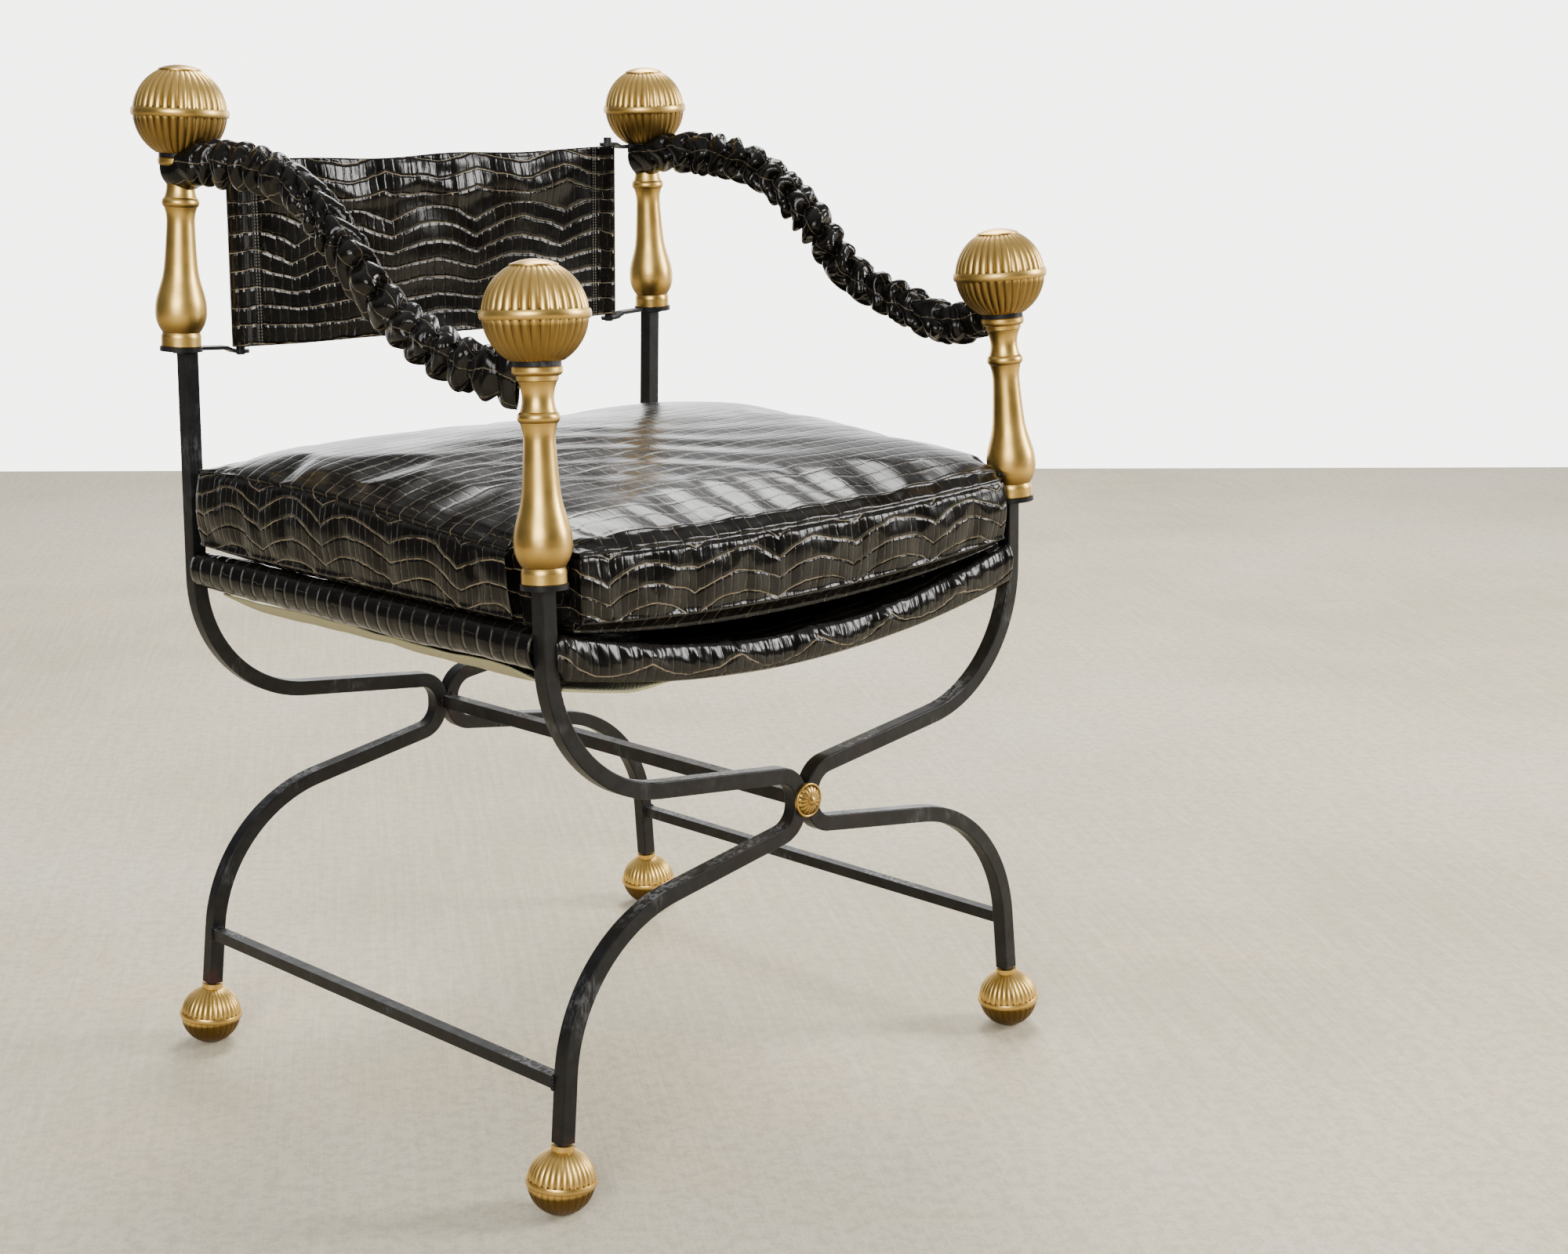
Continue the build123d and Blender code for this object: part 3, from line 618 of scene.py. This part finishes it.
# ---- arm straps --------------------------------------------------------------------------
# A long sleeve of the same leather, gathered tightly over a padded core, hangs in an S from
# under each rear ball to the neck of the front column, and flares open at both ends.
def smooth_path(knots, step):
    """Points every step along a Catmull-Rom curve through the knots, with their tangents."""
    ends = [2 * knots[0] - knots[1]] + knots + [2 * knots[-1] - knots[-2]]
    dense = []
    for k in range(1, len(ends) - 2):
        a, b, c, d = ends[k - 1:k + 3]
        for i in range(40):
            t = i / 40
            curve = 2 * b + (c - a) * t + (2 * a - 5 * b + 4 * c - d) * t * t
            dense.append(0.5 * (curve + (3 * b - a - 3 * c + d) * t ** 3))
    dense.append(ends[-2])
    lengths = [0.0]
    for first, second in zip(dense, dense[1:]):
        lengths.append(lengths[-1] + (second - first).length)
    count = round(lengths[-1] / step)
    out, k = [], 0
    for i in range(count + 1):
        goal = lengths[-1] * i / count
        while k < len(lengths) - 2 and lengths[k + 1] < goal:
            k += 1
        share = (goal - lengths[k]) / max(lengths[k + 1] - lengths[k], 1e-9)
        tangent = (dense[k + 1] - dense[k]).normalized()
        out.append((dense[k].lerp(dense[k + 1], share), tangent, goal))
    return out


# The strap's line from the rear ball to the front column, as depth and height in millimetres.
STRAP_LINE = [
    (236, 811), (205, 815), (160, 816), (115, 812), (80, 805), (42, 790), (0, 759), (-28, 733),
    (-52, 711), (-85, 693), (-120, 681), (-155, 671), (-190, 665),
]
STRAP_END = {"left": (-224, 660), "right": (-226, 673)}
STRAP_X = 0.269
STRAP_STEP = 0.0012
STRAP_AROUND = 96
STRAP_SKIN = 0.0014
CORE_HALF_X, CORE_HALF_UP = 0.0128, 0.0162
PUFF, TUCK = 0.0255, 0.0115
PUFF_HIGH, TUCK_HIGH, PUFF_LEAN = 0.0096, 0.0024, 0.0034
FRONT_FLARE = {"left": 1.0, "right": 0.25}
STRAP_SEED = {"left": 11.3, "right": 47.9}
BALL_ROOM = 0.0425
HIDE_RADIUS = 0.021
strap_leather = embossed_leather("arm_strap_leather", 0.0210, 0.0110, 0.004, 0.095, lines=0.5,
                                 cross=0.2, depth=0.0004)


def gathers(run, angle, seed, gather):
    """Rise of the gathered leather at a place on the sleeve, and its lean along the strap."""
    c, d = cos(angle), sin(angle)
    line = run / PUFF + seed + 0.14 * sin(angle + 5.0 * wave(run * 5, seed, 0.3))
    line += 0.95 * wave(run * 13, c * 0.68 + seed, d * 0.68)
    puff = abs(sin(pi * line)) ** 0.68
    height = max(0.90 + 0.95 * wave(run * 12 + seed, c * 0.9, d * 0.9), 0.35)
    tight = smooth_step(0.35 + 2.2 * wave(run * 13, c * 0.9, d * 0.9 + seed))
    tuck = abs(sin(pi * (run / TUCK + 1.1 * wave(run * 14, c * 0.9 - seed, d * 0.9)))) ** 0.7
    frill = 1.0 + 0.35 * max(-d, 0.0)
    swell = frill * (PUFF_HIGH * height * (puff - 0.60) + TUCK_HIGH * tight * (tuck - 0.6))
    swell = swell * (0.16 + 0.84 * gather)
    swell += 0.0004 * wave(run * 45, c * 2.0 + seed, d * 2.0)
    return swell, PUFF_LEAN * gather * (puff - 0.5)


for side, s in SIDES.items():
    knots = [Vector((s * STRAP_X, y / 1000, z / 1000)) for y, z in STRAP_LINE + [STRAP_END[side]]]
    stations = smooth_path(knots, STRAP_STEP)
    whole = stations[-1][2]
    ball = middle_of(f"rear_{side}_ball_finial")
    points, hide = [], []
    for middle, tangent, run in stations:
        across = Vector((1, 0, 0))
        upward = across.cross(tangent).normalized()
        if upward.z < 0:
            upward = -upward
        to_front = whole - run
        gather = smooth_step((run - 0.012) / 0.05) * smooth_step((to_front - 0.004) / 0.03)
        flare_rear = 1 - smooth_step(run / 0.05)
        flare_front = (1 - smooth_step(to_front / 0.045)) * FRONT_FLARE[side]
        closing = 0.25 + 0.75 * smooth_step(to_front / 0.008)
        half_x = (CORE_HALF_X + 0.0060 * flare_rear - 0.0050 * flare_front) * closing
        half_up = CORE_HALF_UP + 0.0052 * flare_rear + 0.0065 * flare_front
        for j in range(STRAP_AROUND):
            angle = 2 * pi * j / STRAP_AROUND
            swell, lap = gathers(run, angle, STRAP_SEED[side], gather)
            sideways = across * ((half_x + swell) * cos(angle))
            point = middle + sideways + upward * ((half_up + swell) * sin(angle)) + tangent * lap
            off_ball = point - ball
            if off_ball.length < BALL_ROOM:
                point = ball + off_ball.normalized() * BALL_ROOM
            points.append(point)
            hide.append((run * 1.9 + STRAP_SEED[side], angle * HIDE_RADIUS))
    faces = []
    for i in range(len(stations) - 1):
        ring, following = i * STRAP_AROUND, (i + 1) * STRAP_AROUND
        for j in range(STRAP_AROUND):
            k = (j + 1) % STRAP_AROUND
            faces.append((ring + j, ring + k, following + k, following + j))
    strap = hide_mesh(f"{side}_arm_strap_leather", points, hide, faces, strap_leather)
    # The last face of each ring crosses the hide's edge, and runs on past a full turn.
    layer = strap.data.uv_layers["hide"]
    for polygon in strap.data.polygons:
        turns = [layer.data[k].uv.y for k in polygon.loop_indices]
        if max(turns) - min(turns) > pi * HIDE_RADIUS:
            for k in polygon.loop_indices:
                if layer.data[k].uv.y < pi * HIDE_RADIUS:
                    layer.data[k].uv.y += 2 * pi * HIDE_RADIUS
    thicken(strap, STRAP_SKIN, -1.0)
    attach(strap, "frame")
    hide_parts(f"{side}_arm_strap")

# ---- seat sling --------------------------------------------------------------------------
# A leather sling hung between the two seat rods: slack sleeves over the rods, a sagging
# sheet, and a rolled hem that puckers along its front and rear edges.
SLEEVE_X, SLEEVE_Z = 0.2737, 0.457
SLEEVE_HALF_X, SLEEVE_HALF_Z = 0.0125, 0.0165
SLEEVE_FRONT, SLEEVE_REAR = -0.2480, 0.2310
SLEEVE_POINTS = 30
SLING_EDGE = 0.2615
SLING_FRONT, SLING_REAR = -0.259, 0.226
SLING_LOW, SLING_RISE = 0.430, 0.037
SLING_COLUMNS, SLING_ROWS = 120, 150
SLING_SKIN = 0.0018
PUCKER = 0.091
sling_leather = embossed_leather("sling_leather", 0.0165, 0.0300, 0.0030, PUCKER, lines=0.14,
                                 cross=0.2)
hem_leather = embossed_leather("sling_hem_leather", 0.0300, 0.0105, 0.0095, PUCKER, lines=0.9,
                               cross=0.3)


def sling_top(x):
    """Height of the sling's sheet, which sags between the rods."""
    return SLING_LOW + SLING_RISE * (x / SLING_EDGE) ** 2


sleeve = []
for i in range(SLEEVE_POINTS):
    angle = radians(-30 - 290 * i / (SLEEVE_POINTS - 1))
    x = -SLEEVE_X + SLEEVE_HALF_X * cos(angle)
    sleeve.append((x, SLEEVE_Z + SLEEVE_HALF_Z * sin(angle)))
sag = [-SLING_EDGE + 2 * SLING_EDGE * i / SLING_COLUMNS for i in range(SLING_COLUMNS + 1)]
profile = sleeve + [(x, sling_top(x)) for x in sag] + [(-x, z) for x, z in reversed(sleeve)]
points, hide = [], []
travel = 0.0
for i, (x, z) in enumerate(profile):
    if i:
        travel += hypot(x - profile[i - 1][0], z - profile[i - 1][1])
    out_share = smooth_step((abs(x) - 0.2585) / 0.005)
    start = SLING_FRONT + (SLEEVE_FRONT - SLING_FRONT) * out_share
    stop = SLING_REAR + (SLEEVE_REAR - SLING_REAR) * out_share
    outward = Vector((0, 0, 1))
    if out_share > 0.5:
        rod_x = -SLEEVE_X if x < 0 else SLEEVE_X
        outward = Vector((x - rod_x, 0, z - SLEEVE_Z)).normalized()
    loose = 0.0022 * smooth_step((SLEEVE_Z - z) / 0.02) * out_share
    for j in range(SLING_ROWS):
        y = start + (stop - start) * j / (SLING_ROWS - 1)
        ripple = 0.0010 * wave(x * 22, y * 26, 1.7) + 0.0006 * wave(x * 60, y * 75, 5.2)
        hang = loose * wave(0.5 if x < 0 else 8.5, y * 11, 2.0)
        points.append(Vector((x, y, z + hang)) + outward * ripple)
        hide.append((travel, y))
sling_faces = strip_faces(len(profile), SLING_ROWS)
sling = hide_mesh("sling_sheet_leather", points, hide, sling_faces, sling_leather)
thicken(sling, SLING_SKIN, -1.0)
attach(sling, "frame")
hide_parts("seat_sling")

HEM_AROUND, HEM_STATIONS = 64, 420
HEM_THICK = 0.0068
HEM_ENDS = {"front": (-0.2600, -1, 0.2690), "rear": (0.2220, 1, 0.262)}


def hem_rise(x):
    """Rise of a hem's lower edge from its middle out to x."""
    return 0.030 * (x / 0.266) ** 2


for end, (hem_y, outward, half) in HEM_ENDS.items():
    points, hide = [], []
    for i in range(HEM_STATIONS + 1):
        x = half * (2 * i / HEM_STATIONS - 1)
        travel = x + half
        tip = smooth_step((half - abs(x)) / 0.006)
        top = 0.432 + 0.038 * (x / 0.269) ** 2 + 0.0018 * wave(x * 17, 3.3, outward)
        low = 0.404 + hem_rise(x) + 0.0008 * wave(x * 12, 8.3, outward)
        tall, middle = (top - low) / 2, (top + low) / 2
        cusp = (1 - abs(sin(pi * travel / PUCKER))) ** 1.6
        thick = HEM_THICK * (1 + 0.22 * wave(x * 14, 1.1, outward)) * (0.35 + 0.65 * tip)
        for j in range(HEM_AROUND + 1):
            angle = 2 * pi * j / HEM_AROUND - pi
            c, d = cos(angle), sin(angle)
            upper = smooth_step((d + 0.35) / 0.9)
            pucker = (0.0005 + 0.0016 * cusp) * wave(x * 105 + 2.0 * d, d * 0.9, 4.4)
            pucker += 0.0007 * wave(x * 230, d * 0.7, 7.7)
            lump = 0.0030 * cusp * exp(-((d - 0.55) / 0.45) ** 2)
            lump += 0.0016 * wave(x * 21, d * 0.8, 12.5)
            deep = outward * (c * thick + (pucker * upper + lump) * max(c, -0.2) * tip)
            up_down = (d - 0.20 * (1 - d * d) * c) * tall * (0.55 + 0.45 * tip)
            ruffle = 0.0014 * wave(x * 90, 2.0, 6.1) * (0.4 + cusp) + 0.0015 * cusp
            up_down += ruffle * max(d, 0)
            points.append(Vector((x, hem_y + deep, middle + up_down)))
            hide.append((travel + 1.0, angle * 0.0115 + 0.0315))
    around = HEM_AROUND + 1
    faces = strip_faces(HEM_STATIONS + 1, around)
    faces.append(tuple(range(around)))
    faces.append(tuple(reversed(range(HEM_STATIONS * around, (HEM_STATIONS + 1) * around))))
    hem = hide_mesh(f"{end}_sling_hem", points, hide, faces, hem_leather)
    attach(hem, "frame")
    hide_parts("seat_sling")

# ---- seat lining -------------------------------------------------------------------------
# Olive jute webbing sewn under the sling; it has gone slack and shows below the leather.
THREAD = 0.0021
JUTE_SHADE, JUTE, JUTE_FUZZ = (0.11, 0.096, 0.034, 1), (0.50, 0.455, 0.20, 1), (0.52, 0.49, 0.27, 1)
webbing, tree, shader, _ = new_finish("jute_webbing_cloth")
hide_uv = wired(tree, "ShaderNodeUVMap", {}, uv_map="hide").outputs[0]
along, across, _ = split(tree, hide_uv)


def threads(tree, way):
    """Roundness of the threads that lie across a way of the cloth, and each one's number."""
    rounded = calc(tree, "ABSOLUTE", calc(tree, "SINE", times(tree, way, pi / THREAD)))
    return rounded, calc(tree, "FLOOR", calc(tree, "DIVIDE", way, THREAD))


warp, warp_number = threads(tree, along)
weft, weft_number = threads(tree, across)
over = calc(tree, "PINGPONG", plus(tree, warp_number, weft_number), 1.0)
weave = plus(tree, times(tree, warp, over), times(tree, weft, minus(tree, 1.0, over)))
fuzz = mottle(tree, hide_uv, 900.0, 3.0)
patch = mottle(tree, hide_uv, 12.0, 4.0)
# Painted shade: the gaps between the rounded threads are painted dark and the crowns pale.
cloth_tone = mixed(tree, weave, JUTE_SHADE, JUTE)
cloth_tone = mixed(tree, times(tree, fuzz, patch), cloth_tone, JUTE_FUZZ)
tree.links.new(cloth_tone, shader.inputs["Base Color"])
shader.inputs["Roughness"].default_value = 0.9
shader.inputs["Sheen Weight"].default_value = 0.25
set_bump(tree, shader, plus(tree, weave, times(tree, fuzz, 0.4)), 0.0007)

LINING_COLUMNS, LINING_ROWS = 150, 140
LINING_HALF = 0.2635
LINING_FRONT, LINING_DEPTH = -0.260, 0.474
LINING_SKIN = 0.0016
points, hide = [], []
for i in range(LINING_COLUMNS + 1):
    x = LINING_HALF * (2 * i / LINING_COLUMNS - 1)
    edge = (abs(x) / LINING_HALF) ** 2
    under_hem = 0.3965 + hem_rise(x) + 0.009 * smooth_step((x + 0.20) / 0.06)
    for j in range(LINING_ROWS + 1):
        y = LINING_FRONT + LINING_DEPTH * j / LINING_ROWS
        z = 0.3990 + 0.0355 * edge ** 2 + 0.0020 * wave(x * 11, y * 10, 0.4)
        z += 0.0020 * edge * wave(x * 8, y * 28, 6.0)
        z -= 0.0045 * exp(-((abs(x) - 0.212) / 0.035) ** 2)
        z += (under_hem - z) * smooth_step((-0.17 - y) / 0.09)
        points.append((x, y, z))
        hide.append((x, y))
lining_faces = strip_faces(LINING_COLUMNS + 1, LINING_ROWS + 1)
lining = hide_mesh("lining_webbing", points, hide, lining_faces, webbing)
thicken(lining, LINING_SKIN, 0.0)
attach(lining, "frame")
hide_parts("seat_lining")

# ---- seat cushion ------------------------------------------------------------------------
# A loose boxed foam cushion in the same leather: a crowned top and a slack bottom panel sewn
# to a deep border, with the two front corners cut back round the columns.
CUSHION_HALF = 0.284
CUSHION_FRONT, CUSHION_REAR = -0.268, 0.2265
REAR_CORNER = 0.022
NOTCH = 0.0285
ACROSS, DEEP, BORDER_ROWS = 116, 100, 11
notch_low, notch_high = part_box("front_right_lower_plate")
notch_x, notch_y = (notch_low.x + notch_high.x) / 2, (notch_low.y + notch_high.y) / 2


def notch_half(share, toward_front):
    """Point on the right front notch, from its middle towards the front or the side."""
    if toward_front:
        gap = notch_y - CUSHION_FRONT
        last = atan2(-gap, -sqrt(max(NOTCH ** 2 - gap ** 2, 0.0))) + 2 * pi
    else:
        gap = CUSHION_HALF - notch_x
        last = atan2(sqrt(max(NOTCH ** 2 - gap ** 2, 0.0)), gap)
    middle_angle = radians(135)
    angle = middle_angle + (last - middle_angle) * share
    return notch_x + NOTCH * cos(angle), notch_y + NOTCH * sin(angle)


def crowded(share):
    """Share of a side, with the grid lines crowded towards both seams."""
    return 0.4 * share + 0.6 * (0.5 - 0.5 * cos(pi * share))


def crowded_points(line, count):
    """count + 1 points along a polyline, crowded towards its ends."""
    lengths = [0.0]
    for a, b in zip(line, line[1:]):
        lengths.append(lengths[-1] + hypot(b[0] - a[0], b[1] - a[1]))
    out, k = [], 0
    for i in range(count + 1):
        goal = lengths[-1] * crowded(i / count)
        while k < len(line) - 2 and lengths[k + 1] < goal:
            k += 1
        share = (goal - lengths[k]) / max(lengths[k + 1] - lengths[k], 1e-9)
        out.append([a + (b - a) * share for a, b in zip(line[k], line[k + 1])])
    return out


def side_to_side(arc):
    """A line across the cushion, from an arc on its left to the same arc on its right."""
    return [(-x, y) for x, y in arc] + arc[::-1]


front_arc = [notch_half(i / 8, True) for i in range(9)]
side_arc = [notch_half(i / 8, False) for i in range(9)]
rear_arc = []
for degree in range(0, 91, 9):
    x = CUSHION_HALF - REAR_CORNER + REAR_CORNER * cos(radians(degree))
    rear_arc.append((x, CUSHION_REAR - REAR_CORNER + REAR_CORNER * sin(radians(degree))))
front_side = crowded_points(side_to_side(front_arc), ACROSS)
rear_side = crowded_points(side_to_side(rear_arc[5:]), ACROSS)
right_side = crowded_points(side_arc + rear_arc[:6], DEEP)
left_side = [(-x, y) for x, y in right_side]


def patch_point(i, j):
    """Point of the panel's grid, blended from its four edges."""
    s, t = crowded(i / ACROSS), crowded(j / DEEP)
    f, r, a, b = front_side[i], rear_side[i], left_side[j], right_side[j]
    out = []
    for k in (0, 1):
        ruled = (1 - t) * f[k] + t * r[k] + (1 - s) * a[k] + s * b[k]
        ruled -= (1 - s) * (1 - t) * front_side[0][k] + s * (1 - t) * front_side[-1][k]
        ruled -= (1 - s) * t * rear_side[0][k] + s * t * rear_side[-1][k]
        out.append(ruled)
    return out


def depth_share(y):
    """Share of the cushion's depth from its front."""
    return (y - CUSHION_FRONT) / (CUSHION_REAR - CUSHION_FRONT)


def seam_top(x, y):
    """Height of the top seam: lowest at the front middle, highest at the rear."""
    side_rise = 0.009 * abs(x / CUSHION_HALF) ** 2.2
    return 0.5225 + 0.0175 * smooth_step(depth_share(y) / 0.7) + side_rise


def seam_low(x, y):
    """Height of the bottom seam, which hangs lowest in the middle of the front."""
    return 0.4645 + 0.0160 * abs(x / CUSHION_HALF) ** 2 + 0.002 * depth_share(y)


def crown(s, t):
    """Rise of the top panel above its seams, steep at the edges and flat in the middle."""
    across, deep = 1 - abs(2 * s - 1) ** 2.6, 1 - abs(2 * t - 1) ** 2.6
    return (max(across, 0.0) * max(deep, 0.0)) ** 0.62


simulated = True
CROWN_HIGH = 0.033 if simulated else 0.040
BOTTOM_SAG, OFF_SLING = 0.030, 0.0035
BORDER_BULGE = 0.0028


def crowned(x, y, rise):
    """Height of the top panel."""
    return seam_top(x, y) + rise * CROWN_HIGH


def sagged(x, y, rise):
    """Height of the bottom panel, which rests on the sling."""
    return max(seam_low(x, y) - BOTTOM_SAG * rise, sling_top(x) + OFF_SLING)


def add_panel(height_at):
    """Add the points of a panel, and give the number of each from its place in the grid."""
    numbers = {}
    for i in range(ACROSS + 1):
        for j in range(DEEP + 1):
            x, y = patch_point(i, j)
            rise = crown(crowded(i / ACROSS), crowded(j / DEEP))
            numbers[i, j] = len(points)
            points.append(Vector((x, y, height_at(x, y, rise))))
            hide.append((x, y))
    return numbers


points, hide = [], []
top_numbers = add_panel(crowned)
seam = [(i, 0) for i in range(ACROSS)] + [(ACROSS, j) for j in range(DEEP)]
seam += [(i, DEEP) for i in range(ACROSS, 0, -1)] + [(0, j) for j in range(DEEP, 0, -1)]
rings = [[top_numbers[key] for key in seam]]
seam_run = [0.0]
for first, second in zip(seam, seam[1:] + seam[:1]):
    step = points[top_numbers[second]] - points[top_numbers[first]]
    seam_run.append(seam_run[-1] + step.length)
for row in range(1, BORDER_ROWS):
    v = crowded(row / BORDER_ROWS)
    ring = []
    for n, key in enumerate(seam):
        x, y = patch_point(*key)
        top, low = seam_top(x, y), seam_low(x, y)
        centre = Vector((x * 0.92, (y - 0.02) * 0.92 + 0.02, 0))
        outward = (Vector((x, y, 0)) - centre).normalized()
        ring.append(len(points))
        bulge = outward * (BORDER_BULGE * sin(pi * v))
        points.append(Vector((x, y, top + (low - top) * v)) + bulge)
        hide.append((seam_run[n], (low - top) * v))
    rings.append(ring)
low_numbers = add_panel(sagged)
rings.append([low_numbers[key] for key in seam])

faces = []
for i in range(ACROSS):
    for j in range(DEEP):
        quad = [(i, j), (i + 1, j), (i + 1, j + 1), (i, j + 1)]
        faces.append([top_numbers[key] for key in quad])
        faces.append([low_numbers[key] for key in (quad[0], *reversed(quad[1:]))])
panel_faces = len(faces)
seam_points = len(seam)
for upper, lower in zip(rings, rings[1:]):
    for n in range(seam_points):
        m = (n + 1) % seam_points
        faces.append((upper[n], lower[n], lower[m], upper[m]))
panel_hide = embossed_leather("cushion_panel_leather", 0.0170, 0.0130, 0.0016, 0.095, lines=0.6,
                              cross=1.0, stagger=0.06, steady=0.85, depth=0.00035, matt=0.05)
border_hide = embossed_leather("cushion_border_leather", 0.0170, 0.0090, -0.0130, 0.092,
                               lines=0.85, cross=0.75)
cushion = hide_mesh("cushion_leather_cover", points, hide, faces, panel_hide)
cushion.data.materials.append(border_hide)

# The border is its own strip of hide, whose rows of scales follow the seams.
BORDER_ALONG, BORDER_ACROSS = 5.0, 0.6435
layer = cushion.data.uv_layers["hide"]
for polygon in list(cushion.data.polygons)[panel_faces:]:
    band, n = divmod(polygon.index - panel_faces, seam_points)
    polygon.material_index = 1
    x, y = patch_point(*seam[n])
    tall = seam_low(x, y) - seam_top(x, y)
    spots = [(n, band), (n, band + 1), (n + 1, band + 1), (n + 1, band)]
    for k, (at, row) in zip(polygon.loop_indices, spots):
        down = BORDER_ACROSS + tall * crowded(row / BORDER_ROWS)
        layer.data[k].uv = (seam_run[at] + BORDER_ALONG, down)

# The cover is filled by a short cloth simulation with its seams held, and then only a part of
# each point's move is kept, so that the panels swell and wrinkle and the seams stay in place.
SETTLE_FRAMES = 20
SETTLE_SHARE, SETTLE_MOST = 0.46, 0.007
SEAM_HOLD, BOTTOM_HOLD = 0.6, 0.9
if simulated:
    start = [v.co.copy() for v in cushion.data.vertices]
    held = cushion.vertex_groups.new(name="seams")
    on_seams = set(rings[0]) | set(rings[-1])
    for index in on_seams:
        held.add([index], SEAM_HOLD, "REPLACE")
    held.add(list(set(low_numbers.values()) - on_seams), BOTTOM_HOLD, "REPLACE")
    cloth = cushion.modifiers.new("fill", "CLOTH")
    cloth.settings.quality = 6
    cloth.settings.mass = 0.25
    cloth.settings.tension_stiffness = 30
    cloth.settings.compression_stiffness = 30
    cloth.settings.shear_stiffness = 12
    cloth.settings.bending_stiffness = 2.5
    cloth.settings.use_pressure = True
    cloth.settings.uniform_pressure_force = 4.0
    cloth.settings.vertex_group_mass = "seams"
    cloth.settings.effector_weights.gravity = 0.0
    cloth.settings.shrink_min = -0.035
    cloth.collision_settings.use_collision = False
    cloth.point_cache.frame_start = 1
    cloth.point_cache.frame_end = SETTLE_FRAMES
    for number in range(1, SETTLE_FRAMES + 1):
        bpy.context.scene.frame_set(number)
    filled = cushion.evaluated_get(bpy.context.evaluated_depsgraph_get())
    settled = filled.to_mesh()
    moved = [v.co.copy() for v in settled.vertices]
    filled.to_mesh_clear()
    cushion.modifiers.remove(cloth)
    cushion.vertex_groups.clear()
    bpy.context.scene.frame_set(1)
    for vertex, before, after in zip(cushion.data.vertices, start, moved):
        step = SETTLE_SHARE * (after - before)
        if step.length > SETTLE_MOST:
            step *= SETTLE_MOST / step.length
        vertex.co = before + step

# Drag lines and hollows on the top panel, and the pull of the thread along the seams.
for vertex in cushion.data.vertices:
    x, y, z = vertex.co
    on_top = smooth_step((z - seam_top(x, y) - 0.004) / 0.012)
    drag = exp(-((x + 0.05) / 0.17) ** 2 - ((y + 0.11) / 0.11) ** 2)
    fold = sin((x * 0.55 + y) * 105 + 2.2 * wave(x * 7, y * 7, 2.9))
    hollow = 0.0028 * wave(x * 6.5, y * 6.5, 9.1) - 0.004 * drag
    vertex.co.z += on_top * (0.0011 * drag * fold + hollow)
SEAM_PULLS = {0: (0.0036, 0.0010), 1: (-0.0008, 0.0), -2: (0.0006, 0.0), -1: (-0.0028, 0.0)}
for ring, (inward, drop) in SEAM_PULLS.items():
    for index in rings[ring]:
        vertex = cushion.data.vertices[index]
        outward = Vector((vertex.co.x, vertex.co.y + 0.02, 0)).normalized()
        vertex.co -= outward * inward + Vector((0, 0, drop))

# Room round the leaning front columns over the whole way that the cushion lifts.
LIFT = 0.060
COLUMN_ROOM = 0.0260
for side in SIDES:
    foot, head = middle_of(f"front_{side}_lower_plate"), middle_of(f"front_{side}_upper_plate")
    for vertex in cushion.data.vertices:
        for lift in (0.0, LIFT / 2, LIFT):
            share = min(max((vertex.co.z + lift - foot.z) / (head.z - foot.z), 0.0), 1.0)
            axis = foot.lerp(head, share)
            away = Vector((vertex.co.x - axis.x, vertex.co.y - axis.y, 0))
            if away.length < COLUMN_ROOM:
                vertex.co += away.normalized() * (COLUMN_ROOM - away.length)
smooth = cushion.modifiers.new("smooth", "SUBSURF")
smooth.levels = 1
smooth.render_levels = 1
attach(cushion, "cushion")
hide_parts("seat_cushion")
